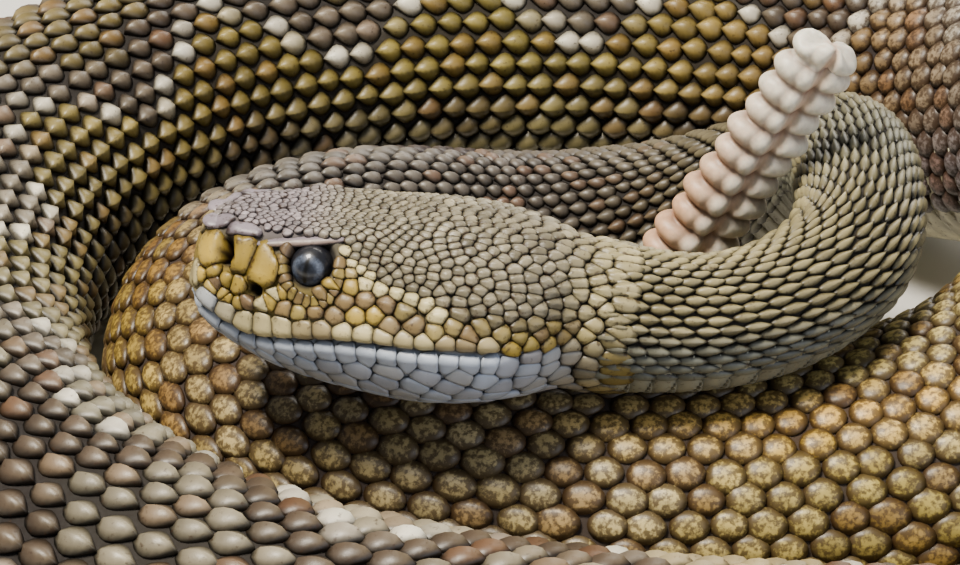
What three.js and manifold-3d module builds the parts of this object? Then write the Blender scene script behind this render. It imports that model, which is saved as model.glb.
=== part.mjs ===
// A life-size still model of a coiled adult rattlesnake, resting its head on its own coils with the rattle raised.
// Millimetres, +Z up. The floor is z = 0, the head points along -X, and the origin is under the middle of the coils.
import * as THREE from "three";
import { mergeVertices } from "three/addons/utils/BufferGeometryUtils.js";
import Module from "manifold-3d";

const wasm = await Module();
wasm.setup();

// Driving sizes.
const COIL_SHIFT = new THREE.Vector3(-15.029, 5.325, 0); // sets the origin under the middle of the bounding box
const NODE_GAP = 0.3; // open cut between neighbouring lengths of the body
const BODY_TALL = 0.97; // body height over body width, above the widest level
const BELLY_FLAT = 0.93; // where the flat belly cuts the section, as a share of its half height
const BELLY_SQUARE = 0.85; // below the widest level: 1 is round, less is squarer
const FLOOR_REACH = 0.5; // a belly lower than this lies on the floor
const BODY_SIDES = 18;
const RING_STEP = { share: 0.36, least: 3.2, most: 9 }; // distance between rings, as a share of the half width, and its limits
const SPLINE_STEPS = 16; // samples between two stations of the route
const HEAD_LENGTH = 58;
const EYE_RADIUS = 3.1;
const RATTLE_LENGTH = 46;
const RATTLE_SEGMENTS = 11;

// Route of the body's middle line from the back of the head to the root of the rattle.
// A station is x, y, height of the middle line, half width and the way the back faces.
const BACK_UP = [0, 0, 1];
const HEAD_LEAN = [0, 0.17, 0.985]; // the crown leans a little away from the viewer

// A station whose belly is lifted by a stated height above the floor.
function lying(x, y, lift, halfWidth) {
  return [x, y, lift + BELLY_FLAT * BODY_TALL * halfWidth, halfWidth, ...BACK_UP];
}

// A station that is held in the air.
function held(x, y, height, halfWidth, back = BACK_UP) {
  return [x, y, height, halfWidth, ...back];
}

const NECK_LOOP = [
  held(4, -46.5, 59.2, 11, HEAD_LEAN),
  held(18, -47.5, 57.6, 9.7, HEAD_LEAN),
  held(32, -42.6, 57.6, 9.8, HEAD_LEAN),
  held(44, -30.5, 59, 10),
  held(46.3, -13, 59.5, 9.8),
  held(46.6, 2, 56.4, 10.1),
  held(44.8, 13, 48.5, 11.3),
  held(38, 23, 37.5, 12.6),
  held(27, 29, 26.5, 14.3),
  held(12, 32.5, 20, 15.6),
];

const INNER_TURN = [
  lying(-8, 34, 0, 17.2),
  lying(-29, 32, 0, 19.2),
  lying(-47, 19, 0, 21.4),
  lying(-55, -2, 0, 23),
  lying(-48, -24, 0, 24),
  lying(-26.5, -41, 0, 24.7),
  lying(0, -47.5, 0, 25),
  lying(26, -48, 0, 25.2),
];

// The right arc arches over the tail.
const ARCH = [
  lying(52, -46.5, 1.5, 25.6),
  lying(76, -38, 8, 25.8),
  lying(95, -19, 20, 26),
  lying(102, 8, 30, 26.2),
  lying(96, 36, 21, 26.4),
  lying(80, 60, 8, 26.6),
  lying(55, 78, 1.5, 26.8),
];

const OUTER_TURN = [
  lying(25, 88, 0, 27),
  lying(-8, 91, 0, 27),
  lying(-40, 86, 0, 27),
  lying(-69.5, 74, 0, 27),
  lying(-91, 54, 0, 27),
  lying(-104.5, 29, 0, 27),
  lying(-108.5, 1, 0, 27),
  lying(-103, -29, 0, 27.4),
  lying(-87.5, -57.5, 0, 27.8),
  lying(-62.5, -81, 0, 28),
  lying(-32, -95, 0, 27.8),
  lying(0, -100.6, 0, 27.2),
  lying(31, -101, 0, 26.3),
  lying(62, -98.8, 0, 25),
  lying(92, -93, 0, 23.1),
  lying(118, -78, 0, 21.6),
  lying(137, -56, 0, 19.9),
  lying(147, -30, 0, 18.1),
  lying(147, -7, 0, 16.4),
  lying(137, 9, 0, 14.9),
];

const TAIL_RUN = [
  lying(120, 13, 0, 13.6),
  lying(101, 10, 0, 12.4),
  lying(83, 5, 0, 11.7),
  lying(66, 0, 0, 11.1),
  lying(51, -5, 0, 10.5),
  lying(38, -8.5, 0, 10),
  held(24, -10.5, 9.6, 9.5, [0.1, 0, 1]),
  held(13, -12, 12.3, 9, [0.5, 0, 0.85]),
  held(7.5, -12.5, 20.5, 8.5, [0.9, 0, 0.4]),
  held(10.2, -13.2, 29.5, 7.9, [1, 0, 0]),
  held(14, -13.5, 37.5, 7.2, [0.9, 0, -0.35]),
  held(18, -13.5, 45, 6.6, [0.84, 0, -0.5]),
];

const STATIONS = [...NECK_LOOP, ...INNER_TURN, ...ARCH, ...OUTER_TURN, ...TAIL_RUN];

// Where one named length ends and the next begins, as shares of the body from head to rattle.
const LENGTHS = [
  ["neck_front", 0, 0.042],
  ["neck_back", 0.042, 0.1],
  ["torso_inner_far", 0.1, 0.165],
  ["torso_inner_left", 0.165, 0.225],
  ["torso_inner_near", 0.225, 0.295],
  ["torso_arch_near", 0.295, 0.36],
  ["torso_arch_far", 0.36, 0.425],
  ["torso_far", 0.425, 0.5],
  ["torso_far_left", 0.5, 0.56],
  ["torso_left", 0.56, 0.62],
  ["torso_near_left", 0.62, 0.69],
  ["torso_near", 0.69, 0.76],
  ["torso_near_right", 0.76, 0.83],
  ["torso_right", 0.83, 0.89],
  ["tail", 0.89, 0.957],
  ["tail_tip", 0.957, 1],
];

// Uniform cubic B-spline through the stations, sampled evenly.
function splineSamples(stations) {
  const mirrored = (a, b) => a.map((value, i) => 2 * value - b[i]);
  const last = stations.length - 1;
  const points = [
    mirrored(stations[0], stations[1]),
    ...stations,
    mirrored(stations[last], stations[last - 1]),
  ];
  const samples = [];
  for (let i = 0; i < last; i++) {
    for (let k = 0; k < SPLINE_STEPS; k++) {
      const t = k / SPLINE_STEPS;
      const weights = [
        (1 - t) ** 3 / 6,
        (3 * t ** 3 - 6 * t * t + 4) / 6,
        (-3 * t ** 3 + 3 * t * t + 3 * t + 1) / 6,
        t ** 3 / 6,
      ];
      samples.push(points[i].map((_, c) => weights.reduce((sum, w, j) => sum + w * points[i + j][c], 0)));
    }
  }
  samples.push(stations[last]);
  return samples;
}

const SAMPLES = splineSamples(STATIONS);
const DISTANCES = SAMPLES.reduce((sums, sample, i) => {
  if (i === 0) return [0];
  const before = SAMPLES[i - 1];
  return [...sums, sums[i - 1] + Math.hypot(sample[0] - before[0], sample[1] - before[1], sample[2] - before[2])];
}, []);
const BODY_LENGTH = DISTANCES[DISTANCES.length - 1];

// The route's values at a distance behind the head.
function routeAt(distance) {
  let i = 1;
  while (i < DISTANCES.length - 1 && DISTANCES[i] < distance) i++;
  const share = (distance - DISTANCES[i - 1]) / (DISTANCES[i] - DISTANCES[i - 1]);
  return SAMPLES[i - 1].map((value, c) => value + share * (SAMPLES[i][c] - value));
}

// The middle point, half width and axes of the body at a distance behind the head.
function frameAt(distance) {
  const here = routeAt(distance);
  const ahead = routeAt(Math.max(distance - 1, 0));
  const behind = routeAt(Math.min(distance + 1, BODY_LENGTH));
  const tailward = new THREE.Vector3(behind[0] - ahead[0], behind[1] - ahead[1], behind[2] - ahead[2]).normalize();
  const back = new THREE.Vector3(here[4], here[5], here[6]);
  back.addScaledVector(tailward, -back.dot(tailward)).normalize();
  const side = new THREE.Vector3().crossVectors(tailward, back);
  return { middle: new THREE.Vector3(here[0], here[1], here[2]), halfWidth: here[3], tailward, back, side };
}

// One ring of the body: round above, fuller below, cut by the flat belly.
function bodyRing(distance) {
  const { middle, halfWidth, back, side } = frameAt(distance);
  const halfHeight = BODY_TALL * halfWidth;
  const lift = middle.z - BELLY_FLAT * halfHeight;
  const ring = [];
  for (let k = 0; k < BODY_SIDES; k++) {
    const angle = (2 * Math.PI * k) / BODY_SIDES;
    const fuller = Math.cos(angle) < 0 ? BELLY_SQUARE : 1;
    const across = halfWidth * Math.sign(Math.sin(angle)) * Math.abs(Math.sin(angle)) ** fuller;
    const up = Math.max(halfHeight * Math.cos(angle), -BELLY_FLAT * halfHeight);
    const point = middle.clone().addScaledVector(side, across).addScaledVector(back, up);
    const onBelly = up <= -BELLY_FLAT * halfHeight;
    if ((onBelly && lift < FLOOR_REACH) || point.z < 0) point.z = 0;
    ring.push(point);
  }
  return ring;
}

// A closed geometry from rings of equal count, with a fan over each end.
function loft(rings) {
  const count = rings[0].length;
  const middleOf = (ring) => ring.reduce((sum, p) => sum.add(p), new THREE.Vector3()).divideScalar(count);
  const points = [...rings.flat(), middleOf(rings[0]), middleOf(rings[rings.length - 1])];
  const startMiddle = points.length - 2;
  const endMiddle = points.length - 1;
  const lastRing = (rings.length - 1) * count;
  const faces = [];
  for (let k = 0; k < count; k++) {
    const next = (k + 1) % count;
    faces.push(startMiddle, next, k);
    faces.push(endMiddle, lastRing + k, lastRing + next);
    for (let r = 0; r < rings.length - 1; r++) {
      const here = r * count;
      const there = here + count;
      faces.push(here + k, there + next, there + k);
      faces.push(here + k, here + next, there + next);
    }
  }
  const geometry = new THREE.BufferGeometry();
  geometry.setAttribute("position", new THREE.Float32BufferAttribute(points.flatMap((p) => p.toArray()), 3));
  geometry.setIndex(faces);
  return geometry;
}

// Joining and cutting.
function toSolid(geometry) {
  const bare = geometry.clone();
  bare.deleteAttribute("normal");
  bare.deleteAttribute("uv");
  const merged = mergeVertices(bare, 1e-4);
  const made = new wasm.Manifold(
    new wasm.Mesh({
      numProp: 3,
      vertProperties: new Float32Array(merged.attributes.position.array),
      triVerts: new Uint32Array(merged.index.array),
    }),
  );
  return made;
}

function toGeometry(solid) {
  const bodies = solid.decompose();
  const largest = bodies.reduce((best, body) => (body.volume() > best.volume() ? body : best));
  const mesh = largest.getMesh();
  const geometry = new THREE.BufferGeometry();
  geometry.setAttribute("position", new THREE.Float32BufferAttribute(mesh.vertProperties, 3));
  geometry.setIndex([...mesh.triVerts]);
  return geometry;
}

// A smooth value from a table of [place, value] rows.
function fromTable(table, place) {
  const last = table.length - 1;
  if (place <= table[0][0]) return table[0][1];
  if (place >= table[last][0]) return table[last][1];
  const i = table.findIndex((row) => row[0] > place) - 1;
  const slope = (j) => {
    if (j <= 0 || j >= last) return 0;
    return (table[j + 1][1] - table[j - 1][1]) / (table[j + 1][0] - table[j - 1][0]);
  };
  const span = table[i + 1][0] - table[i][0];
  const t = (place - table[i][0]) / span;
  const starts = (1 + 2 * t) * (1 - t) ** 2 * table[i][1] + t * (1 - t) ** 2 * span * slope(i);
  const ends = t * t * (3 - 2 * t) * table[i + 1][1] - t * t * (1 - t) * span * slope(i + 1);
  return starts + ends;
}

// The head in its own frame: x runs back from the snout, y to the animal's right, z up from the neck's middle line.
const NECK_HALF = STATIONS[0][3];
const HEAD_HALF_WIDTH = [
  [0, 5.6], [1, 7.6], [3, 9.3], [7, 11.3], [13.8, 14], [20, 16], [29, 18.2], [36, 19.2], [43, 18.4], [50, 14.8], [58, NECK_HALF],
];
const HEAD_TOP = [
  [0, 5.6], [1, 7.5], [3, 9], [7, 10.2], [13, 11.1], [20, 11.7], [30, 12.6], [40, 12.7], [50, 11.9], [58, BODY_TALL * NECK_HALF],
];
const HEAD_BOTTOM = [
  [0, 4.4], [1, 6.3], [3, 8.2], [8, 10.8], [14, 12.7], [24, 13.9], [34, 13.9], [46, 12], [58, BELLY_FLAT * BODY_TALL * NECK_HALF],
];
const HEAD_BOXINESS = [[0, 2.6], [10, 3.1], [20, 2.9], [32, 2.5], [58, 2]]; // 2 is an ellipse, more is squarer
const CROWN_TAPER = [[0, 0.1], [6, 0.22], [18, 0.32], [32, 0.24], [46, 0.08], [58, 0]]; // narrowing from cheek to crown
const HEAD_STEPS = [0, 0.4, 1, 2, 3.4, 5.2, 7.4, 10, 12.8, 15.6, 18.4, 21.4, 24.6, 28, 31.6, 35.2, 38.8, 42.4, 45.8, 49.2, 52.4, 55.4, 58];
const HEAD_SIDES = 40;
const THROAT_BOXINESS = 2.2; // below the cheeks
const BROW_LIFT = 0.9; // how far the brow plates stand over the crown's edge
const MOUTH_LINE = [[0, -2.4], [4, -3.6], [12, -3.7], [20, -3.1], [30, -1.9], [38, -0.8], [43, -0.3]];
const LIP_SWELL = 0.4; // how far the lips stand out on either side of the mouth
const LIP_REACH = 1.5; // how far from the mouth each lip is fullest
const JAW_ANGLE = 43; // where the mouth line ends
const THROAT_CUT = 47; // where the lower jaw ends below

function headRing(place) {
  const halfWidth = fromTable(HEAD_HALF_WIDTH, place);
  const top = fromTable(HEAD_TOP, place);
  const bottom = fromTable(HEAD_BOTTOM, place);
  const boxy = fromTable(HEAD_BOXINESS, place);
  const taper = fromTable(CROWN_TAPER, place);
  const ring = [];
  for (let k = 0; k < HEAD_SIDES; k++) {
    const angle = (2 * Math.PI * k) / HEAD_SIDES;
    const sine = Math.sin(angle);
    const cosine = Math.cos(angle);
    const power = 2 / (cosine > 0 ? boxy : THROAT_BOXINESS);
    const height = Math.sign(cosine) * Math.abs(cosine) ** power;
    const narrowing = 1 - taper * Math.max(height, 0);
    const y = -halfWidth * narrowing * Math.sign(sine) * Math.abs(sine) ** power;
    const z = height * (cosine > 0 ? top : bottom);
    const overMouth = Math.abs(z - fromTable(MOUTH_LINE, place)) - LIP_REACH;
    const lip = place < JAW_ANGLE ? LIP_SWELL * Math.exp(-(overMouth ** 2)) : 0;
    ring.push(new THREE.Vector3(place, y + lip * Math.sign(y), z));
  }
  return ring;
}

// An ellipsoid with its three half sizes, turned about the upright axis and set at a point.
function ellipsoid(halfX, halfY, halfZ, x, y, z, turn = 0, pitch = 0) {
  const made = new THREE.SphereGeometry(1, 14, 10);
  made.scale(halfX, halfY, halfZ);
  made.rotateY(pitch);
  made.rotateZ(turn);
  made.translate(x, y, z);
  return toSolid(made);
}

// The place of each feature on the animal's right side; the left side mirrors y.
const EYE = { x: 17, y: 9.5, z: 6.2 };
const NOSTRIL = { x: 4.5, y: 8.9, z: 6.2 };
const HEAT_PIT = { x: 9.4, y: 11.8, z: 2.4 };
const BROW = { x: 15.8, y: 7.9, z: 8.7 };

function sideFeatures(sign) {
  const socket = ellipsoid(EYE_RADIUS + 0.3, EYE_RADIUS + 0.3, EYE_RADIUS + 0.3, EYE.x, sign * EYE.y, EYE.z);
  const nostril = ellipsoid(0.85, 2.4, 1.5, NOSTRIL.x, sign * NOSTRIL.y, NOSTRIL.z, sign * 0.25);
  const pit = ellipsoid(1.25, 2.8, 1.35, HEAT_PIT.x, sign * HEAT_PIT.y, HEAT_PIT.z, sign * -0.35);
  const brow = ellipsoid(6.6, 2.5, 1.4, BROW.x, sign * BROW.y, BROW.z + BROW_LIFT, sign * 0.1, -0.03);
  return { cuts: [socket, nostril, pit], brow };
}

// The lower jaw's share of the head: all that lies under the mouth line and ahead of the throat cut.
function jawRegion(lower, ahead) {
  const outline = new THREE.Shape();
  outline.moveTo(-5, MOUTH_LINE[0][1] - lower);
  for (let x = 0; x <= JAW_ANGLE - ahead; x += 3.3) outline.lineTo(x, fromTable(MOUTH_LINE, x) - lower);
  outline.lineTo(JAW_ANGLE - ahead, fromTable(MOUTH_LINE, JAW_ANGLE) - lower);
  outline.lineTo(THROAT_CUT - ahead, -20);
  outline.lineTo(-5, -20);
  const made = new THREE.ExtrudeGeometry(outline, { depth: 60, bevelEnabled: false });
  made.rotateX(Math.PI / 2);
  made.translate(0, 30, 0);
  return toSolid(made);
}

function headSolids() {
  const right = sideFeatures(1);
  const left = sideFeatures(-1);
  const shell = toSolid(loft(HEAD_STEPS.map(headRing)));
  const browed = wasm.Manifold.union([shell, left.brow, right.brow]);
  const carved = [...left.cuts, ...right.cuts].reduce((solid, cut) => solid.subtract(cut), browed);
  return {
    head: toGeometry(carved.subtract(jawRegion(0, 0))),
    lower_jaw: toGeometry(carved.intersect(jawRegion(NODE_GAP, NODE_GAP))),
  };
}

// The rattle in its own frame: z runs from its root to its tip, x across its lobes.
const RATTLE_ROOT = { halfWidth: 6.8, halfDepth: 4.5 };
const RATTLE_TIP = { halfWidth: 5.4, halfDepth: 3.2 };
const RATTLE_SIDES = 16;
const LOBE_GROOVE = 0.26; // how deep the groove between the two lobes is
const SEGMENT_PROFILE = [[0.02, 0.74], [0.22, 0.97], [0.48, 1], [0.8, 0.86]]; // share of the segment, share of its size

function rattleRing(height, scale) {
  const along = height / RATTLE_LENGTH;
  const halfWidth = scale * THREE.MathUtils.lerp(RATTLE_ROOT.halfWidth, RATTLE_TIP.halfWidth, along);
  const halfDepth = scale * THREE.MathUtils.lerp(RATTLE_ROOT.halfDepth, RATTLE_TIP.halfDepth, along);
  const ring = [];
  for (let k = 0; k < RATTLE_SIDES; k++) {
    const angle = (2 * Math.PI * k) / RATTLE_SIDES;
    const pinch = 1 - LOBE_GROOVE * Math.exp(-((Math.cos(angle) / 0.3) ** 2));
    ring.push(new THREE.Vector3(halfWidth * Math.cos(angle), halfDepth * Math.sin(angle) * pinch, height));
  }
  return ring;
}

function rattleSolid() {
  const pitch = RATTLE_LENGTH / RATTLE_SEGMENTS;
  const rings = [];
  for (let i = 0; i < RATTLE_SEGMENTS; i++) {
    const uneven = 1 + 0.035 * Math.sin(2.4 * i); // no two segments are quite the same size
    for (const [share, scale] of SEGMENT_PROFILE) rings.push(rattleRing((i + share) * pitch, scale * uneven));
  }
  rings.push(rattleRing(RATTLE_LENGTH, 0.45));
  return loft(rings);
}

// Materials.
function finish(colour, roughness) {
  return new THREE.MeshStandardMaterial({ color: colour, roughness, metalness: 0 });
}
const SCALED_SKIN = finish("#8a7d52", 0.55);
const HEAD_SKIN = finish("#a39b7c", 0.5);
const CHIN_SKIN = finish("#c3c6c4", 0.45);
const TAIL_SKIN = finish("#77766c", 0.55);
const EYE_GLOSS = finish("#1b1f2b", 0.1);
const RATTLE_HORN = finish("#e6d3bb", 0.4);

const snake = new THREE.Group();

function addMesh(name, geometry, material, parent = snake) {
  const mesh = new THREE.Mesh(geometry, material);
  mesh.name = name;
  parent.add(mesh);
  return mesh;
}

// The lengths of the body, each closed at both ends and parted by a thin cut.
for (const [name, start, end] of LENGTHS) {
  const from = start === 0 ? NODE_GAP : start * BODY_LENGTH + NODE_GAP / 2;
  const to = end === 1 ? BODY_LENGTH : end * BODY_LENGTH - NODE_GAP / 2;
  const halfWidth = routeAt((from + to) / 2)[3];
  const step = THREE.MathUtils.clamp(RING_STEP.share * halfWidth, RING_STEP.least, RING_STEP.most);
  const count = Math.max(2, Math.round((to - from) / step));
  const rings = Array.from({ length: count + 1 }, (_, i) => bodyRing(from + ((to - from) * i) / count));
  addMesh(name, loft(rings), name.startsWith("tail") ? TAIL_SKIN : SCALED_SKIN);
}

// The head, its lower jaw and its eyes stand in one group at the front end of the route.
const front = frameAt(0);
const headGroup = new THREE.Group();
headGroup.matrixAutoUpdate = false;
headGroup.matrix.makeBasis(front.tailward, front.back.clone().cross(front.tailward), front.back);
headGroup.matrix.setPosition(front.middle.clone().addScaledVector(front.tailward, -HEAD_LENGTH));
const { head, lower_jaw } = headSolids();
addMesh("head", head, HEAD_SKIN, headGroup);
addMesh("lower_jaw", lower_jaw, CHIN_SKIN, headGroup);
for (const [name, sign] of [["eye_left", -1], ["eye_right", 1]]) {
  const ball = new THREE.SphereGeometry(EYE_RADIUS, 16, 12);
  const eye = addMesh(name, ball, EYE_GLOSS, headGroup);
  eye.position.set(EYE.x, sign * EYE.y, EYE.z);
}
snake.add(headGroup);

// The rattle carries on from the tail's tip.
const end = frameAt(BODY_LENGTH);
const rattle = addMesh("rattle", rattleSolid(), RATTLE_HORN);
rattle.matrixAutoUpdate = false;
rattle.matrix.makeBasis(end.back, end.tailward.clone().cross(end.back), end.tailward);
rattle.matrix.setPosition(end.middle.clone().addScaledVector(end.tailward, NODE_GAP));

snake.position.copy(COIL_SHIFT);

export default snake;
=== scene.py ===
"""A coiled rattlesnake: one skin, its scales and plates, two eyes and the rattle, over the solids."""

import logging
import math
from dataclasses import dataclass, field
from enum import Enum

import bpy
import numpy as np
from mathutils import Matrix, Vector


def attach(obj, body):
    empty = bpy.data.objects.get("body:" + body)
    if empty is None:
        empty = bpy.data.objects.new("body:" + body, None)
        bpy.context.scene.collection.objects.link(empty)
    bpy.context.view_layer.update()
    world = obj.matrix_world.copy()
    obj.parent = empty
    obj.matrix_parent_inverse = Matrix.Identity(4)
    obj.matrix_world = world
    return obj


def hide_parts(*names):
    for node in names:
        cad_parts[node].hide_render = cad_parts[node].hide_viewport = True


logging.basicConfig(level=logging.INFO, format="%(message)s")
LOG = logging.getLogger("rattlesnake")
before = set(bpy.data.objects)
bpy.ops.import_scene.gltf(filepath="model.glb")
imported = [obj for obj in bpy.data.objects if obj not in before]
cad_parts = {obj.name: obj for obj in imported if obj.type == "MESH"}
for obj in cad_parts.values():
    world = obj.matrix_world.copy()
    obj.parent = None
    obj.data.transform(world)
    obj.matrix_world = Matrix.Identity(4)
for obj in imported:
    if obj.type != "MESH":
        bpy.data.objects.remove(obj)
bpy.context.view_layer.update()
MM = 0.001

# Sizes shared with the solids, in millimetres.
COIL_SHIFT = np.array([-15.029, 5.325, 0.0])
BODY_TALL = 0.97
BELLY_FLAT = 0.93
HEAD_LENGTH = 58.0
RATTLE_LENGTH = 46.0
RATTLE_SEGMENTS = 11
SPLINE_STEPS = 16
ANGLE_STEP = 0.02
FAR_AWAY = 99.0
# The head's scales: how far along it they lie, and how far round from the back line.
HEAD_SPAN = (-57.4, 2.5)
CHIN_LIMIT = 2.9
UP = (0.0, 0.0, 1.0)
LEAN = (0.0, 0.17, 0.985)


def lying(x: float, y: float, lift: float, half: float) -> tuple:
    """A station of the body that lies at a stated height over the floor."""
    return (x, y, lift + BELLY_FLAT * BODY_TALL * half, half, *UP)


def held(x: float, y: float, height: float, half: float, back: tuple = UP) -> tuple:
    """A station of the body that is held in the air."""
    return (x, y, height, half, *back)


# Stations of the body's middle line, from the head to the rattle. Rows without a function's name lie on
# the floor or over another coil: place, height of the belly, and half width.
NECK_LOOP = [
    held(4, -46.5, 59.2, 11, LEAN), held(18, -47.5, 57.6, 9.7, LEAN), held(32, -42.6, 57.6, 9.8, LEAN),
    held(44, -30.5, 59, 10), held(46.3, -13, 59.5, 9.8), held(46.6, 2, 56.4, 10.1),
    held(44.8, 13, 48.5, 11.3), held(38, 23, 37.5, 12.6), held(27, 29, 26.5, 14.3),
    held(12, 32.5, 20, 15.6),
]
INNER_TURN = [
    (-8, 34, 0, 17.2), (-29, 32, 0, 19.2), (-47, 19, 0, 21.4), (-55, -2, 0, 23), (-48, -24, 0, 24),
    (-26.5, -41, 0, 24.7), (0, -47.5, 0, 25), (26, -48, 0, 25.2),
]
ARCH = [
    (52, -46.5, 1.5, 25.6), (76, -38, 8, 25.8), (95, -19, 20, 26), (102, 8, 30, 26.2),
    (96, 36, 21, 26.4), (80, 60, 8, 26.6), (55, 78, 1.5, 26.8),
]
OUTER_TURN = [
    (25, 88, 0, 27), (-8, 91, 0, 27), (-40, 86, 0, 27), (-69.5, 74, 0, 27), (-91, 54, 0, 27),
    (-104.5, 29, 0, 27), (-108.5, 1, 0, 27), (-103, -29, 0, 27.4), (-87.5, -57.5, 0, 27.8),
    (-62.5, -81, 0, 28), (-32, -95, 0, 27.8), (0, -100.6, 0, 27.2), (31, -101, 0, 26.3),
    (62, -98.8, 0, 25), (92, -93, 0, 23.1), (118, -78, 0, 21.6), (137, -56, 0, 19.9),
    (147, -30, 0, 18.1), (147, -7, 0, 16.4), (137, 9, 0, 14.9),
]
TAIL_RUN = [
    lying(120, 13, 0, 13.6), lying(101, 10, 0, 12.4), lying(83, 5, 0, 11.7), lying(66, 0, 0, 11.1),
    lying(51, -5, 0, 10.5), lying(38, -8.5, 0, 10), held(24, -10.5, 9.6, 9.5, (0.1, 0, 1)),
    held(13, -12, 12.3, 9, (0.5, 0, 0.85)), held(7.5, -12.5, 20.5, 8.5, (0.9, 0, 0.4)),
    held(10.2, -13.2, 29.5, 7.9, (1, 0, 0)), held(14, -13.5, 37.5, 7.2, (0.9, 0, -0.35)),
    held(18, -13.5, 45, 6.6, (0.84, 0, -0.5)),
]
# Tables down the head: millimetres behind the snout, and a value there.
HEAD_HALF_WIDTH = [
    (0, 5.6), (1, 7.6), (3, 9.3), (7, 11.3), (13.8, 14), (20, 16), (29, 18.2), (36, 19.2), (43, 18.4),
    (50, 14.8), (58, 11),
]
HEAD_TOP = [
    (0, 5.6), (1, 7.5), (3, 9), (7, 10.2), (13, 11.1), (20, 11.7), (30, 12.6), (40, 12.7), (50, 11.9),
    (58, 10.67),
]
HEAD_BOTTOM = [
    (0, 4.4), (1, 6.3), (3, 8.2), (8, 10.8), (14, 12.7), (24, 13.9), (34, 13.9), (46, 12), (58, 9.92),
]
HEAD_BOXINESS = [(0, 2.6), (10, 3.1), (20, 2.9), (32, 2.5), (58, 2)]
CROWN_TAPER = [(0, 0.1), (6, 0.22), (18, 0.32), (32, 0.24), (46, 0.08), (58, 0)]
MOUTH_LINE = [
    (-2, -2.2), (0, -2.4), (2, -2.9), (5.5, -4.1), (9.4, -4.9), (15.2, -3.4), (20.9, -1.8), (26.5, -0.8),
    (30.8, -0.4), (37.6, 0.4), (44.5, 0.5),
]
BROW_RIDGE = [(2, 8.0), (9, 8.6), (14, 9.4), (24, 10.6), (30, 11)]
LIP_HEIGHT = [(0, 3.0), (4, 3.8), (9, 3.9), (16, 3.2), (24, 2.6), (44, 2.0)]
BEAD_LINE = [(21, 8.5), (24.4, 7.3), (28.8, 6.1), (34.4, 5.0), (38, 4.3)]
FLESH_NODES = [
    "head", "lower_jaw", "neck_front", "neck_back", "torso_inner_far", "torso_inner_left", "torso_inner_near",
    "torso_arch_near", "torso_arch_far", "torso_far", "torso_far_left", "torso_left", "torso_near_left",
    "torso_near", "torso_near_right", "torso_right", "tail", "tail_tip",
]


class Slot(Enum):
    """The record's material slots."""

    SKIN = "scaled_skin"
    TAIL = "tail_skin"
    HEAD = "head_skin"
    EYE = "eye_gloss"
    RATTLE = "rattle_horn"


def linear(hex_colour: str) -> np.ndarray:
    """Turns an sRGB hex colour to linear red, green and blue.

    Args:
        hex_colour: Six hex digits after a hash sign.

    Returns:
        Three linear values.
    """
    values = np.array([int(hex_colour[i : i + 2], 16) for i in (1, 3, 5)]) / 255
    return np.where(values <= 0.04045, values / 12.92, ((values + 0.055) / 1.055) ** 2.4)


def smooth_table(table: list, place: np.ndarray) -> np.ndarray:
    """Smooth values between the rows of a table, flat beyond its ends.

    Args:
        table: Rows of place and value.
        place: Where values are wanted.

    Returns:
        The values.
    """
    xs = np.array([row[0] for row in table], float)
    ys = np.array([row[1] for row in table], float)
    slopes = np.zeros(len(xs))
    slopes[1:-1] = (ys[2:] - ys[:-2]) / (xs[2:] - xs[:-2])
    x = np.clip(place, xs[0], xs[-1])
    i = np.clip(np.searchsorted(xs, x, side="right") - 1, 0, len(xs) - 2)
    span = xs[i + 1] - xs[i]
    t = (x - xs[i]) / span
    starts = (1 + 2 * t) * (1 - t) ** 2 * ys[i] + t * (1 - t) ** 2 * span * slopes[i]
    return starts + t * t * (3 - 2 * t) * ys[i + 1] - t * t * (1 - t) * span * slopes[i + 1]


def unit(vectors: np.ndarray) -> np.ndarray:
    """Vectors of length one."""
    return vectors / np.maximum(np.linalg.norm(vectors, axis=-1, keepdims=True), 1e-9)


def step(low: float, high: float, values: np.ndarray) -> np.ndarray:
    """A smooth step from 0 at low to 1 at high."""
    t = np.clip((values - low) / (high - low), 0, 1)
    return t * t * (3 - 2 * t)


def hump(values: np.ndarray, middle: float, half: float) -> np.ndarray:
    """A smooth hump, 1 at its middle."""
    return np.exp(-(((values - middle) / half) ** 2))


def mix(a: np.ndarray, b: np.ndarray, share: np.ndarray) -> np.ndarray:
    """Colours a share of the way from a to b."""
    return a + (b - a) * np.asarray(share)[..., None]


def ring_faces(rows: int, columns: int) -> tuple:
    """Face corners and corner counts of a tube of rings that is closed at both ends."""
    number = np.arange(rows * columns).reshape(rows, columns)
    ahead = np.roll(number, -1, axis=1)
    sides = np.stack([number[:-1], ahead[:-1], ahead[1:], number[1:]], axis=-1)
    corners = np.concatenate([sides.ravel(), number[0][::-1], number[-1]])
    return corners, np.concatenate([np.full((rows - 1) * columns, 4), [columns, columns]])


def ball(segments: int, rings: int, sizes: tuple) -> tuple:
    """A ball from a primitive, drawn out in edit mode.

    Args:
        segments: Faces round it.
        rings: Faces from pole to pole.
        sizes: Its half sizes.

    Returns:
        Points, face corners and corner counts.
    """
    bpy.ops.object.select_all(action="DESELECT")
    bpy.ops.mesh.primitive_uv_sphere_add(segments=segments, ring_count=rings, radius=1)
    made = bpy.context.object
    bpy.ops.object.mode_set(mode="EDIT")
    bpy.ops.mesh.select_all(action="SELECT")
    bpy.ops.transform.resize(value=sizes)
    bpy.ops.object.mode_set(mode="OBJECT")
    points = np.empty(len(made.data.vertices) * 3)
    made.data.vertices.foreach_get("co", points)
    totals = np.empty(len(made.data.polygons), np.int32)
    made.data.polygons.foreach_get("loop_total", totals)
    corners = np.empty(len(made.data.loops), np.int32)
    made.data.loops.foreach_get("vertex_index", corners)
    bpy.data.objects.remove(made)
    return points.reshape(-1, 3), corners, totals


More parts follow.
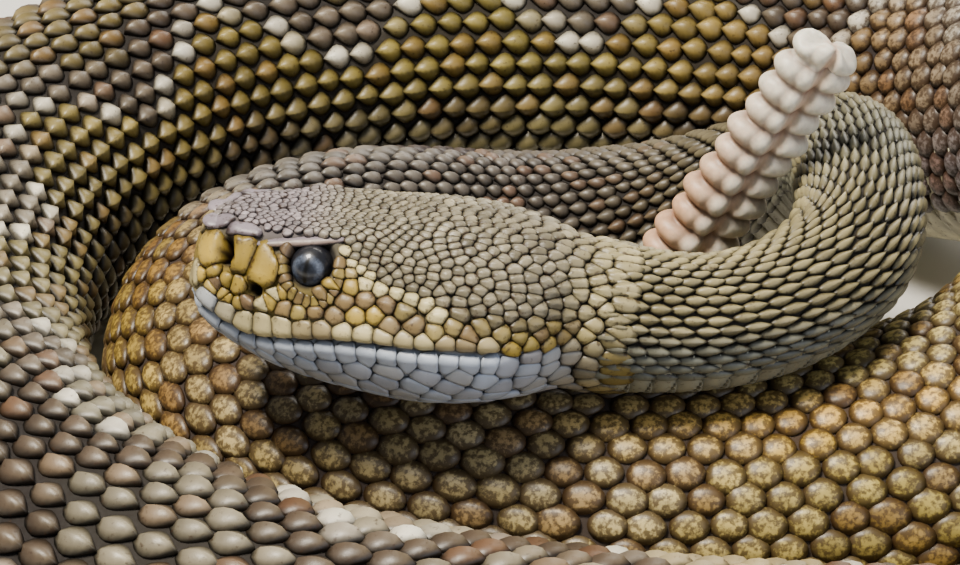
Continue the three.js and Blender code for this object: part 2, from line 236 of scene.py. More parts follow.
def face_outward(made: bpy.types.Object) -> None:
    """Turns every face of one object outward, in edit mode."""
    bpy.ops.object.select_all(action="DESELECT")
    made.select_set(True)
    bpy.context.view_layer.objects.active = made
    bpy.ops.object.mode_set(mode="EDIT")
    bpy.ops.mesh.select_all(action="SELECT")
    bpy.ops.mesh.normals_make_consistent(inside=False)
    bpy.ops.object.mode_set(mode="OBJECT")


@dataclass
class Route:
    """The body's middle line, from the back of the head to the root of the rattle."""

    stations: list
    length: float = field(init=False)
    distance: np.ndarray = field(init=False)
    columns: np.ndarray = field(init=False)

    def __post_init__(self) -> None:
        """Samples the spline and the axes along it."""
        points = np.array(self.stations, float)
        ends = [2 * points[:1] - points[1:2], points, 2 * points[-1:] - points[-2:-1]]
        points = np.concatenate(ends)
        t = np.arange(SPLINE_STEPS)[:, None] / SPLINE_STEPS
        weights = [(1 - t) ** 3, 3 * t**3 - 6 * t * t + 4, -3 * t**3 + 3 * t * t + 3 * t + 1, t**3]
        spans = [sum(w / 6 * points[i + j] for j, w in enumerate(weights)) for i in range(len(points) - 3)]
        samples = np.concatenate([*spans, points[-2:-1]])
        steps = np.linalg.norm(np.diff(samples[:, :3], axis=0), axis=1)
        self.distance = np.concatenate([[0], np.cumsum(steps)])
        self.length = float(self.distance[-1])
        tailward = unit(np.gradient(samples[:, :3], self.distance, axis=0))
        back = samples[:, 4:7]
        back = unit(back - tailward * np.sum(back * tailward, axis=1, keepdims=True))
        side = np.cross(tailward, back)
        self.columns = np.concatenate([samples[:, :4], tailward, back, side], axis=1)

    def at(self, distance: np.ndarray) -> tuple:
        """The middle, half width and axes at distances, carried on straight past either end.

        Args:
            distance: Millimetres behind the head.

        Returns:
            Middle points, half widths, and the tailward, back and side directions.
        """
        held_distance = np.clip(distance, 0, self.length)
        found = np.stack([np.interp(held_distance, self.distance, c) for c in self.columns.T], axis=-1)
        tailward, back, side = (unit(found[..., k : k + 3]) for k in (4, 7, 10))
        beyond = (distance - held_distance)[..., None]
        return found[..., :3] + tailward * beyond, found[..., 3], tailward, back, side


@dataclass
class Hide:
    """The animal's outer surface, addressed by distance behind the head and the angle from the back line.

    Distances from -59, the tip of the snout, to 0 are on the head.
    """

    route: Route
    eye: tuple = (17.0, 9.5, 6.2)
    nostril: tuple = (4.7, 8.1, 5.9)
    nostril_size: tuple = (0.95, 2.4, 1.9)
    heat_pit: tuple = (9.4, 11.7, 2.2)
    pit_size: tuple = (0.95, 2.4, 0.95)

    def body_section(self, half: np.ndarray, angle: np.ndarray) -> tuple:
        """Across and up offsets of the body's flat-bellied section."""
        cosine, sine = np.cos(angle), np.sin(angle)
        fuller = np.where(cosine < 0, 0.85, 1.0)
        across = half * np.sign(sine) * np.abs(sine) ** fuller
        tall = BODY_TALL * half
        return across, np.maximum(tall * cosine, -BELLY_FLAT * tall)

    def head_section(self, place: np.ndarray, angle: np.ndarray) -> tuple:
        """Across and up offsets of the head's section, which closes over the snout's tip below place 0."""
        cosine, sine = np.cos(angle), np.sin(angle)
        boxy = np.where(cosine > 0, smooth_table(HEAD_BOXINESS, place), 2.2)
        height = np.sign(cosine) * np.abs(cosine) ** (2 / boxy)
        narrowing = 1 - smooth_table(CROWN_TAPER, place) * np.maximum(height, 0)
        across = smooth_table(HEAD_HALF_WIDTH, place) * narrowing * np.sign(sine) * np.abs(sine) ** (2 / boxy)
        tall = np.where(cosine > 0, smooth_table(HEAD_TOP, place), smooth_table(HEAD_BOTTOM, place))
        closing = np.cos(np.clip(-place, 0, 1) * math.pi / 2)
        return across * closing, height * tall * closing

    def point(self, distance: np.ndarray, angle: np.ndarray, sunk: float = 0.0) -> np.ndarray:
        """Points on the plain surface, without the head's small features.

        Args:
            distance: Millimetres behind the head.
            angle: Radians from the back line, positive on the animal's left.
            sunk: How far under the solids' surface the point lies.

        Returns:
            Points in millimetres.
        """
        middle, half, tailward, back, side = self.route.at(distance)
        across, up = self.body_section(half, angle)
        place = HEAD_LENGTH + distance
        head_across, head_up = self.head_section(place, angle)
        share = step(HEAD_LENGTH, HEAD_LENGTH - 9, place)
        across = across + (head_across - across) * share
        up = up + (head_up - up) * share
        reach = np.maximum(np.hypot(across, up), 1e-6)
        pull = np.maximum(1 - sunk / reach, 0.05)
        forward = np.where(place < 0, -place - 0.7 * np.sin(np.clip(-place, 0, 1) * math.pi / 2), 0)
        found = middle + side * (across * pull)[..., None] + back * (up * pull)[..., None]
        found = found + tailward * forward[..., None]
        found[..., 2] = np.maximum(found[..., 2], 0.05)
        return found

    def frame(self, distance: np.ndarray, angle: np.ndarray, sunk: float = 0.0) -> tuple:
        """A point on the surface with its tailward, crosswise and outward directions."""
        point = self.point(distance, angle, sunk)
        along = unit(self.point(distance + 0.3, angle, sunk) - self.point(distance - 0.3, angle, sunk))
        right = self.point(distance, angle - ANGLE_STEP, sunk)
        cross = self.point(distance, angle + ANGLE_STEP, sunk) - right
        outward = unit(np.cross(cross, along))
        return point, along, unit(np.cross(along, outward)), outward

    def per_radian(self, distance: np.ndarray, angle: np.ndarray) -> np.ndarray:
        """Millimetres over the surface for a radian of angle."""
        ahead = self.point(distance, angle + ANGLE_STEP) - self.point(distance, angle)
        return np.linalg.norm(ahead, axis=-1) / ANGLE_STEP

    def nearest(self, wanted: np.ndarray, distance: np.ndarray, angle: np.ndarray) -> tuple:
        """Finds the surface's places nearest to wanted points, step by step.

        Args:
            wanted: Points close to the surface.
            distance: First guesses.
            angle: First guesses.

        Returns:
            Distances and angles.
        """
        for _ in range(6):
            gap = wanted - self.point(distance, angle)
            a = (self.point(distance + 0.2, angle) - self.point(distance - 0.2, angle)) / 0.4
            b = self.point(distance, angle + ANGLE_STEP) - self.point(distance, angle - ANGLE_STEP)
            b = b / (2 * ANGLE_STEP)
            pairs = ((a, a), (a, b), (b, b), (gap, a), (gap, b))
            aa, ab, bb, ra, rb = (np.sum(x * y, axis=-1) for x, y in pairs)
            whole = np.maximum(aa * bb - ab * ab, 1e-3)
            forward = np.clip((bb * ra - ab * rb) / whole, -1, 1)
            distance = np.maximum(distance + forward, -HEAD_LENGTH + 0.05)
            angle = angle + np.clip((aa * rb - ab * ra) / whole, -0.25, 0.25)
        return distance, angle

    def head_local(self, points: np.ndarray) -> np.ndarray:
        """Points in the head's own frame: place behind the snout, across to the animal's left, and height."""
        middle, _, tailward, back, side = self.route.at(np.zeros(1))
        gap = points - middle[0]
        return np.stack([gap @ tailward[0] + HEAD_LENGTH, gap @ side[0], gap @ back[0]], axis=-1)

    def head_world(self, local: np.ndarray) -> np.ndarray:
        """The opposite of head_local."""
        middle, _, tailward, back, side = self.route.at(np.zeros(1))
        x, y, z = local[..., 0:1] - HEAD_LENGTH, local[..., 1:2], local[..., 2:3]
        return middle[0] + x * tailward[0] + y * side[0] + z * back[0]

    def angle_at(self, place: float, height: float) -> float:
        """The angle at which the head's side has a stated height."""
        x = np.array([place])
        if height >= 0:
            share = height / smooth_table(HEAD_TOP, x)[0]
            return math.acos(min(share, 1) ** (smooth_table(HEAD_BOXINESS, x)[0] / 2))
        share = -height / smooth_table(HEAD_BOTTOM, x)[0]
        return math.acos(-(min(share, 1) ** 1.1))

    def gap(self, local: np.ndarray, centre: tuple, sizes: tuple) -> np.ndarray:
        """How far places on either side of the head are from a feature, in its half sizes."""
        mirrored = local.copy()
        mirrored[..., 1] = np.abs(mirrored[..., 1])
        return np.linalg.norm((mirrored - np.array(centre)) / np.array(sizes), axis=-1)

    def face_relief(self, local: np.ndarray) -> np.ndarray:
        """How far the head's small features raise or sink the skin, in millimetres.

        Args:
            local: Points in the head's own frame.

        Returns:
            One height for each point.
        """
        place, wide, height = local[..., 0], np.abs(local[..., 1]), local[..., 2]
        eye = self.gap(local, self.eye, (1, 1, 1))
        nostril = self.gap(local, self.nostril, self.nostril_size)
        pit = self.gap(local, self.heat_pit, self.pit_size)
        # Each feature has a swollen rim round a hollow of this depth.
        hollow = 2.4
        relief = 0.55 * hump(eye, 4.3, 0.8) - hollow * np.exp(-((eye / 3.2) ** 6))
        relief += 0.5 * hump(nostril, 1.9, 0.6) - hollow * np.exp(-(nostril**6))
        relief += 0.45 * hump(pit, 1.8, 0.6) - hollow * np.exp(-(pit**6))
        ridge = height - smooth_table(BROW_RIDGE, place)
        along = step(2, 7, place) * step(28, 22, place)
        relief += 0.6 * along * hump(ridge, 0, 1) * step(3, 6, wide)
        crown = step(5, 10, place) * step(34, 24, place) * step(5, 9, height)
        relief -= 0.8 * hump(wide, 0, 3.6) * crown
        mouth = height - smooth_table(MOUTH_LINE, place)
        on_jaw = step(46, 43, place)
        relief -= 0.9 * on_jaw * hump(mouth, 0, 0.28)
        return relief + 0.35 * on_jaw * (hump(mouth, 1.3, 0.8) + hump(mouth, -1.4, 0.8))

    def face_shadow(self, local: np.ndarray) -> np.ndarray:
        """How far painted shade darkens the face: in the nostrils and pits, along the mouth and round the
        eyes.
        """
        nostril = step(1.3, 0.9, self.gap(local, self.nostril, self.nostril_size))
        pit = step(1.35, 0.9, self.gap(local, self.heat_pit, self.pit_size))
        lids = 0.9 * step(4.0, 3.5, self.gap(local, self.eye, (1, 1, 1)))
        mouth = local[..., 2] - smooth_table(MOUTH_LINE, local[..., 0])
        seam = 0.5 * hump(mouth, 0, 0.32) * step(46, 43, local[..., 0])
        return np.maximum.reduce([nostril, pit, lids, seam])


class Palette:
    """The colours of the animal's hide and of the shade and highlights painted on it, in linear red, green
    and blue.
    """

    UMBER = linear("#3d2b1a")
    BORDER = linear("#e6dfcd")
    LOWER = linear("#6f6b60")
    LILAC = linear("#8d8798")
    GOLD = linear("#dba72a")
    BRICK = linear("#7a4a22")
    # tint of the painted highlight along the scales' keels
    TIP_HIGHLIGHT = linear("#d9cfa6")
    BELLY = linear("#cfc9ac")
    # painted shade for the skin seen between the scales, plum-tinged under the flat coil
    GAP_SHADE = linear("#120b08")
    GAP_SHADE_PLUM = linear("#21141a")
    TEAL = linear("#5f6963")
    TAIL = linear("#6f6c66")
    CROWN = linear("#7f7761")
    BROW = linear("#7b6b63")
    CANTHUS = linear("#8b8088")
    MUSTARD = linear("#ad9138")
    TAN = linear("#80684a")
    CHEEK = linear("#97833f")
    CREAM = linear("#cfc08c")
    # pale chin, tinted blue by painted sky light
    CHIN = linear("#bfc9d8")
    # painted shade for the face's holes, the mouth seam and the rims round the eyes
    HOLE_SHADE = linear("#160c08")


# Ground colour down the body: share of its length, colour, and how strongly the diamonds show. From
# 0.09 to 0.16 the colour darkens into painted shadow, for the coil that lies in shade under the far band;
# the pale rows at 0.63 and 0.69 are partly the hide's own colour and partly painted highlight. A
# strength over 1 counts as 1, and only holds the markings strong for longer.
GROUND_AND_PAINTED_LIGHT = [
    (0.0, "#a2966c", 0.0), (0.06, "#a3966a", 0.0), (0.09, "#746a52", 0.0), (0.12, "#35292a", 0.1),
    (0.16, "#32272a", 0.2), (0.18, "#b3953f", 0.1), (0.22, "#b5a374", 0.1), (0.27, "#bba653", 0.12),
    (0.32, "#b8a462", 0.18), (0.36, "#978a78", 0.25), (0.4, "#94733f", 1.0), (0.45, "#a09149", 0.9),
    (0.52, "#8f7c3a", 1.0), (0.58, "#8b7f4c", 0.8), (0.63, "#9b947c", 1.0), (0.69, "#bdb196", 1.3),
    (0.75, "#c2a75e", 1.2), (0.8, "#8f8347", 0.8), (0.9, "#857a52", 0.8), (1.0, "#6f6c66", 0.3),
]


@dataclass
class Markings:
    """Which colour the hide has at a place: diamonds down the back over an olive base colour, with painted
    shade and highlights in places.

    first is where the first diamond starts, as a share of one, and apex is how many radians from the
    back line their side corners reach.
    """

    hide: Hide
    diamonds: int = 24
    first: float = 0.76
    apex: float = 1.02

    def share(self, distance: np.ndarray) -> np.ndarray:
        """Distances as shares of the body's length."""
        return distance / self.hide.route.length

    def flat_part(self, distance: np.ndarray) -> np.ndarray:
        """How far a place belongs to the stretched coil under the head, whose scales lie flat."""
        share = self.share(distance)
        return step(0.15, 0.18, share) * step(0.42, 0.37, share)

    def wobble(self, distance: np.ndarray, angle: np.ndarray, size: float, turn: float) -> np.ndarray:
        """A slow, smooth unevenness from -1 to 1 over the hide."""
        a = np.sin(distance / size + turn + 1.7 * np.sin(angle * 1.3 + turn))
        b = np.sin(distance / (size * 0.43) - 2.1 * angle + turn * 2.3)
        return 0.6 * a + 0.4 * b

    def body(self, distance: np.ndarray, angle: np.ndarray) -> np.ndarray:
        """Colours on the neck, trunk and tail.

        Args:
            distance: Millimetres behind the head.
            angle: Radians from the back line.

        Returns:
            Linear colours.
        """
        share = self.share(distance)
        wide = np.abs(angle)
        table = np.array([[place, *linear(colour), strength] for place, colour, strength in GROUND_AND_PAINTED_LIGHT])
        found = np.stack([np.interp(share, table[:, 0], column) for column in table.T[1:]], axis=-1)
        ground_and_painted_light, strength = found[..., :3], np.minimum(found[..., 3], 1)
        flat = self.flat_part(distance)
        depth = 0.66 + 0.22 * flat
        ground_and_painted_light = ground_and_painted_light * (depth * (1 + 0.2 * self.wobble(distance, angle, 26, 0.4)))[..., None]
        lower = step(1.15, 1.85, wide + 0.2 * self.wobble(distance, angle, 34, 2))
        shaded = step(0.085, 0.105, share) * step(0.18, 0.165, share)
        pale = mix(Palette.LOWER, Palette.LILAC, flat)
        ground_and_painted_light = mix(ground_and_painted_light, pale, 0.55 * lower * (1 - 0.8 * shaded))
        gold = flat * step(0.22, 0.26, share) * hump(angle, 0.32, 0.2)
        ground_and_painted_light = mix(ground_and_painted_light, Palette.GOLD, 0.9 * gold)
        phase = (share * self.diamonds + self.first) % 1 - 0.5
        reach = np.abs(phase) / 0.5 * 0.75 + wide / self.apex + 0.05 * self.wobble(distance, angle, 9, 1)
        colour = mix(ground_and_painted_light, Palette.BORDER, 0.8 * strength * step(1.1, 1.04, reach))
        colour = mix(colour, Palette.UMBER, (0.35 + 0.6 * strength) * strength * step(1.0, 0.94, reach))
        colour = mix(colour, ground_and_painted_light * 0.7, 0.85 * strength * step(0.62, 0.5, reach))
        side_phase = (share * self.diamonds + self.first + 0.5) % 1 - 0.5
        side_spot = np.hypot(side_phase / 0.24, (wide - 1.42) / 0.2)
        colour = mix(colour, Palette.UMBER, 0.7 * strength * step(1.1, 0.6, side_spot))
        neck = step(0.1, 0.06, share)
        colour = mix(colour, Palette.TEAL, 0.55 * neck * step(1.15, 1.75, wide))
        # painted shade: the neck's bend is darker and bluer where it lies in shade
        shaded_bend = hump(share, 0.052, 0.012) * step(1.5, 0.6, wide)
        colour = mix(colour, Palette.TEAL * 0.6, 0.6 * shaded_bend)
        tail = step(0.9, 0.94, share)
        banded = np.where((share * 260) % 2 < 1.0, 0.8, 1.0)[..., None] * Palette.TAIL
        return mix(colour, banded, tail)

    def head(self, local: np.ndarray) -> np.ndarray:
        """Colours on the head, from the place in the head's own frame."""
        place, height = local[..., 0], local[..., 2]
        mouth = height - smooth_table(MOUTH_LINE, place)
        colour = mix(Palette.CHEEK, Palette.CROWN, step(3.5, 7.5, height + 0.06 * (place - 20)))
        colour = mix(colour, Palette.CANTHUS, 0.8 * step(7, 9.5, height) * step(22, 12, place))
        mustard = step(13.5, 11.5, place) * step(7.6, 6.4, height) * step(-2, 0, height)
        colour = mix(colour, Palette.MUSTARD, 0.8 * mustard)
        lips = step(4.8, 2.0, mouth) * step(42, 24, place)
        colour = mix(colour, Palette.CREAM, 0.85 * lips)
        chin = step(0.4, -0.6, mouth - 0.05 * np.maximum(place - 44, 0)) * step(62, 46, place)
        # the chin's pale blue is partly its own pale colour and partly painted sky light
        colour = mix(colour, Palette.CHIN, chin)
        blend_back = step(50, 58, place) * step(-3, 3, height)
        colour = mix(colour, linear(GROUND_AND_PAINTED_LIGHT[0][1]), 0.8 * blend_back)
        # painted shade in the nostrils and pits, along the mouth and round the eyes
        return mix(colour, Palette.HOLE_SHADE, self.hide.face_shadow(local))


class Node:
    """Adds nodes to one material's tree."""

    def __init__(self, name: str) -> None:
        """Starts an empty material."""
        self.material = bpy.data.materials.new(name)
        self.material.use_nodes = True
        self.tree = self.material.node_tree
        self.tree.nodes.clear()

    def add(self, kind: str, inputs: dict | None = None, **settings: object) -> bpy.types.Node:
        """Adds one node.

        Args:
            kind: The node's Blender type.
            inputs: Socket name or number to a value, or to another node's output socket.
            settings: The node's own properties.

        Returns:
            The new node.
        """
        node = self.tree.nodes.new(kind)
        for key, value in settings.items():
            setattr(node, key, value)
        for key, value in (inputs or {}).items():
            socket = node.inputs[key]
            if isinstance(value, bpy.types.NodeSocket):
                self.tree.links.new(value, socket)
            else:
                socket.default_value = value
        return node

    def marking(self) -> bpy.types.Node:
        """The colours that a piece carries at its vertices."""
        return self.add("ShaderNodeAttribute", attribute_name="marking")

    def noise(self, size_mm: float, detail: float, roughness: float = 0.5) -> bpy.types.NodeSocket:
        """Noise of a stated grain that stays with the object."""
        place = self.add("ShaderNodeTexCoord").outputs["Object"]
        inputs = {"Vector": place, "Scale": 1 / (size_mm * MM), "Detail": detail, "Roughness": roughness}
        return self.add("ShaderNodeTexNoise", inputs).outputs["Fac"]

    def tint(
        self, colour: bpy.types.NodeSocket, noise: bpy.types.NodeSocket, darkest: float, lightest: float
    ) -> bpy.types.NodeSocket:
        """A colour made darker and lighter by noise."""
        shade = self.add("ShaderNodeMapRange", {"Value": noise, 1: 0.3, 2: 0.7, 3: darkest, 4: lightest})
        inputs = {0: 1.0, 6: colour, 7: shade.outputs[0]}
        return self.add("ShaderNodeMix", inputs, data_type="RGBA", blend_type="MULTIPLY").outputs[2]

    def bump(self, height: bpy.types.NodeSocket, depth_mm: float) -> bpy.types.NodeSocket:
        """A normal roughened by noise."""
        inputs = {"Strength": 0.3, "Distance": depth_mm * MM, "Height": height}
        return self.add("ShaderNodeBump", inputs).outputs[0]

    def finish(self, inputs: dict) -> bpy.types.Material:
        """Adds the surface and its output, and gives the finished material."""
        surface = self.add("ShaderNodeBsdfPrincipled", inputs)
        self.add("ShaderNodeOutputMaterial", {"Surface": surface.outputs[0]})
        return self.material


@dataclass(frozen=True)
class ScaleFinish:
    """Keratin of a live snake: dry, close-grained and satin, with brown flecks in each scale."""

    name: str = "keratin_scales"
    roughness: float = 0.4
    grain_mm: float = 0.85
    fleck: str = "#33200f"

    def build(self) -> bpy.types.Material:
        """Makes the material: colour from the piece's own marking, which carries painted shade and highlights
        too, flecks from the marking's alpha.
        """
        node = Node(self.name)
        marking = node.marking()
        grain = node.noise(self.grain_mm, 3.0, 0.62)
        toned = node.tint(marking.outputs["Color"], node.noise(6, 2.0), 0.78, 1.18)
        push = {0: marking.outputs["Alpha"], 1: 0.42, 2: grain}
        pushed = node.add("ShaderNodeMath", push, operation="MULTIPLY_ADD").outputs[0]
        flecked = node.add("ShaderNodeMapRange", {"Value": pushed, 1: 0.66, 2: 0.82, 3: 0.0, 4: 0.8})
        inputs = {0: flecked.outputs[0], 6: toned, 7: (*linear(self.fleck), 1)}
        colour = node.add("ShaderNodeMix", inputs, data_type="RGBA").outputs[2]
        spread = {"Value": grain, 3: self.roughness - 0.1, 4: self.roughness + 0.16}
        rough = node.add("ShaderNodeMapRange", spread).outputs[0]
        bump = node.bump(grain, 0.12)
        return node.finish({"Base Color": colour, "Roughness": rough, "IOR": 1.5, "Normal": bump})


@dataclass(frozen=True)
class EyeFinish:
    """A wet, clear scale over a slate iris with an upright slit."""

    name: str = "clear_spectacle_over_iris"

    def build(self) -> bpy.types.Material:
        """Makes the eye's material from the iris colours that the mesh carries."""
        node = Node(self.name)
        colour = node.tint(node.marking().outputs["Color"], node.noise(0.35, 4.0), 0.55, 1.35)
        coat = {"Coat Weight": 0.55, "Coat Roughness": 0.08}
        return node.finish({"Base Color": colour, "Roughness": 0.4, "IOR": 1.4, **coat})


@dataclass(frozen=True)
class HornFinish:
    """Dry shed horn: cream outside, warmer where light passes through the thin rims."""

    name: str = "dry_rattle_horn"

    def build(self) -> bpy.types.Material:
        """Makes the rattle's material."""
        node = Node(self.name)
        fine = node.noise(1.1, 5.0)
        colour = node.tint(node.marking().outputs["Color"], fine, 0.82, 1.1)
        depth = {"Subsurface Weight": 0.15, "Subsurface Radius": (0.002, 0.001, 0.0006)}
        bump = node.bump(fine, 0.15)
        return node.finish({"Base Color": colour, "Roughness": 0.45, "IOR": 1.54, "Normal": bump, **depth})


def new_piece(
    name: str,
    points: np.ndarray,
    faces: np.ndarray,
    totals: np.ndarray,
    colours: np.ndarray,
    material: bpy.types.Material,
    slot: Slot,
    bake: np.ndarray | None = None,
) -> bpy.types.Object:
    """Makes one finished piece that rides on the root body.

    Args:
        name: The piece's name.
        points: Vertices in millimetres, in the route's frame.
        faces: Vertex numbers of all faces, one after another.
        totals: How many corners each face has.
        colours: A linear colour for each vertex, and the share of brown flecks where it has any.
        material: Its finish.
        slot: The record's slot for its finish; not used.
        bake: A place on the unwrap for each vertex.

    Returns:
        The new object.
    """
    mesh = bpy.data.meshes.new(name)
    mesh.vertices.add(len(points))
    mesh.vertices.foreach_set("co", ((points + COIL_SHIFT) * MM).astype(np.float32).ravel())
    mesh.loops.add(len(faces))
    mesh.loops.foreach_set("vertex_index", faces.astype(np.int32))
    mesh.polygons.add(len(totals))
    starts = np.concatenate([[0], np.cumsum(totals)[:-1]])
    mesh.polygons.foreach_set("loop_start", starts.astype(np.int32))
    mesh.update(calc_edges=True)
    mesh.polygons.foreach_set("use_smooth", np.ones(len(totals), bool))
    marking = mesh.attributes.new("marking", "FLOAT_COLOR", "POINT")
    if colours.shape[1] == 3:
        colours = np.concatenate([colours, np.zeros((len(points), 1))], axis=1)
    marking.data.foreach_set("color", np.clip(colours, 0, 1).astype(np.float32).ravel())
    if bake is not None:
        layer = mesh.uv_layers.new(name="OFBake")
        layer.data.foreach_set("uv", bake[faces].astype(np.float32).ravel())
    mesh.materials.append(material)
    made = bpy.data.objects.new(name, mesh)
    bpy.context.scene.collection.objects.link(made)
    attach(made, "root")
    LOG.info("%s: %d vertices, %d faces", name, len(points), len(totals))
    return made


@dataclass
class Leaf:
    """The template that every scale is a copy of: a square grid on a skirt that sinks into the skin."""

    along: int = 5
    across: int = 4
    grid: np.ndarray = field(init=False)
    rim: np.ndarray = field(init=False)
    faces: np.ndarray = field(init=False)
    totals: np.ndarray = field(init=False)
    places: np.ndarray = field(init=False)

    def __post_init__(self) -> None:
        """Lays a square grid out over a disc and joins its edge to a sunk copy."""
        a = np.linspace(-1, 1, self.along + 1)
        b = np.linspace(-1, 1, self.across + 1)
        u, v = np.meshgrid(a, b, indexing="ij")
        self.grid = np.stack([u * np.sqrt(1 - v * v / 2), v * np.sqrt(1 - u * u / 2)], axis=-1).reshape(-1, 2)
        rows, columns = self.along + 1, self.across + 1
        number = np.arange(rows * columns).reshape(rows, columns)
        corners = (number[:-1, :-1], number[:-1, 1:], number[1:, 1:], number[1:, :-1])
        top = np.stack(corners, axis=-1).reshape(-1, 4)
        sides = (number[0, :-1], number[:-1, -1], number[-1, :0:-1], number[:0:-1, 0])
        self.rim = np.concatenate(sides)
        sunk = rows * columns + np.arange(len(self.rim))
        ahead, sunk_ahead = np.roll(self.rim, -1), np.roll(sunk, -1)
        skirt = np.stack([self.rim, sunk, sunk_ahead, ahead], axis=-1)
        self.faces = np.concatenate([top.ravel(), skirt.ravel(), sunk[::-1]])
        self.totals = np.concatenate([np.full(len(top) + len(skirt), 4), [len(sunk)]])
        self.places = np.concatenate([self.grid, self.grid[self.rim]])

    def many(self, copies: int) -> tuple:
        """Faces of many copies laid one after another."""
        shift = np.repeat(np.arange(copies) * len(self.places), len(self.faces))
        return np.tile(self.faces, copies) + shift, np.tile(self.totals, copies)


@dataclass
class ScaleField:
    """Scales set side by side: where each is, how large, and how it is formed.

    A form is one value, or one a scale. cells holds how far each scale reaches towards each point of
    its template, where scales fill the space between them.
    """

    distance: np.ndarray
    angle: np.ndarray
    length: np.ndarray
    width: np.ndarray
    colour: np.ndarray
    dome: float | np.ndarray = 0.16
    level: float | np.ndarray = 2.6
    keel: float | np.ndarray = 0.1
    lift: float | np.ndarray = 0.14
    point: float | np.ndarray = 0.35
    # edge: how far painted shade darkens each scale towards its rim.
    edge: float | np.ndarray = 0.5
    # pale: how strongly a painted highlight lightens each scale along its keel towards the free tip.
    pale: float | np.ndarray = 0.0
    fleck: float | np.ndarray = 0.2
    skirt: float = 0.35
    sunk: float = 0.35
    cells: np.ndarray | None = None

    def each(self, value: float | np.ndarray) -> np.ndarray:
        """A form's value as a column with one row a scale."""
        return np.broadcast_to(np.asarray(value, float).reshape(-1, 1), (len(self.distance), 1))

    def build(self, hide: Hide, leaf: Leaf, relief: bool = False) -> tuple:
        """Points and colours of every scale.

        Args:
            hide: The surface that carries them.
            leaf: The template.
            relief: Whether they follow the face's small features.

        Returns:
            Points, and colours with the share of flecks as their alpha, one after another.
        """
        x, y = leaf.places[:, 0], leaf.places[:, 1]
        radius = np.clip(np.hypot(x, y), 0, 1)
        taper = 1 - self.each(self.point) * np.maximum(x + 0.15, 0) ** 1.6 * 0.75
        along = x * self.each(self.length) / 2
        across = y * taper * self.each(self.width) / 2
        if self.cells is not None:
            along = x * self.cells * (self.length / self.width)[:, None]
            across = y * self.cells
        s = self.distance[:, None] + along
        t = self.angle[:, None] + across / hide.per_radian(self.distance, self.angle)[:, None]
        if self.cells is not None:
            base, lengthwise, crosswise, _ = hide.frame(self.distance, self.angle)
            shift = along[..., None] * lengthwise[:, None] + across[..., None] * crosswise[:, None]
            s, t = hide.nearest(base[:, None] + shift, s, t)
        point, _, _, outward = hide.frame(s, t, self.sunk)
        size = np.minimum(self.length, self.width)[:, None]
        height = self.each(self.dome) * (1 - radius ** self.each(self.level))
        height = height + self.each(self.keel) * hump(y, 0, 0.2) * (1 - np.abs(x) ** 3)
        height = (height + self.each(self.lift) * (x + 0.6) * 0.5) * size + 0.12
        top = len(leaf.grid)
        height[:, top:] = -self.skirt
        local = hide.head_local(point)
        if relief:
            height = height + hide.face_relief(local)
        points = point + outward * height[..., None]
        points[..., 2] = np.maximum(points[..., 2], 0.0)
        # painted shade: each scale darkens towards its rim and at its root under the scale ahead, and its
        # sunk skirt is dark
        shade = 1 - self.each(self.edge) * radius**5 - 0.3 * np.clip(-x, 0, 1) ** 1.5
        shade[:, top:] = 0.1
        colours = self.colour[:, None, :] * shade[..., None]
        # painted highlight: a lighter copy of the scale's colour along its keel towards the free tip
        keel_highlight = self.each(self.pale) * hump(y, 0, 0.45) * step(-0.4, 0.75, x) * (radius < 0.99)
        colours = mix(colours, np.clip(1.5 * colours + 0.12 * Palette.TIP_HIGHLIGHT, 0, 1), 1.6 * keel_highlight)
        if relief:
            # painted shade in the nostrils and pits, along the mouth and round the eyes
            colours = mix(colours, Palette.HOLE_SHADE, hide.face_shadow(local))
        rim = np.clip(self.each(self.fleck) * (0.55 + 0.75 * radius**3), 0, 1)
        return points.reshape(-1, 3), np.concatenate([colours, rim[..., None]], axis=-1).reshape(-1, 4)


@dataclass
class Layer:
    """What every piece of scales is built with: the surface, the template and the finish."""

    hide: Hide
    leaf: Leaf
    material: bpy.types.Material
    slot: Slot = Slot.SKIN
    relief: bool = False

    def piece(self, name: str, scales: ScaleField, cells: tuple, size: tuple) -> None:
        """Makes one piece of scales, each unwrapped within a cell of its own.

        Args:
            name: The piece's name.
            scales: Its scales.
            cells: The middles of the cells on the unwrap, across and up.
            size: Half the width and height that a scale takes in its cell.
        """
        points, colours = scales.build(self.hide, self.leaf, self.relief)
        corners, totals = self.leaf.many(len(scales.distance))
        bake = np.stack(cells, axis=-1)[:, None, :] + self.leaf.places * np.array(size)
        new_piece(name, points, corners, totals, colours, self.material, self.slot, bake.reshape(-1, 2))


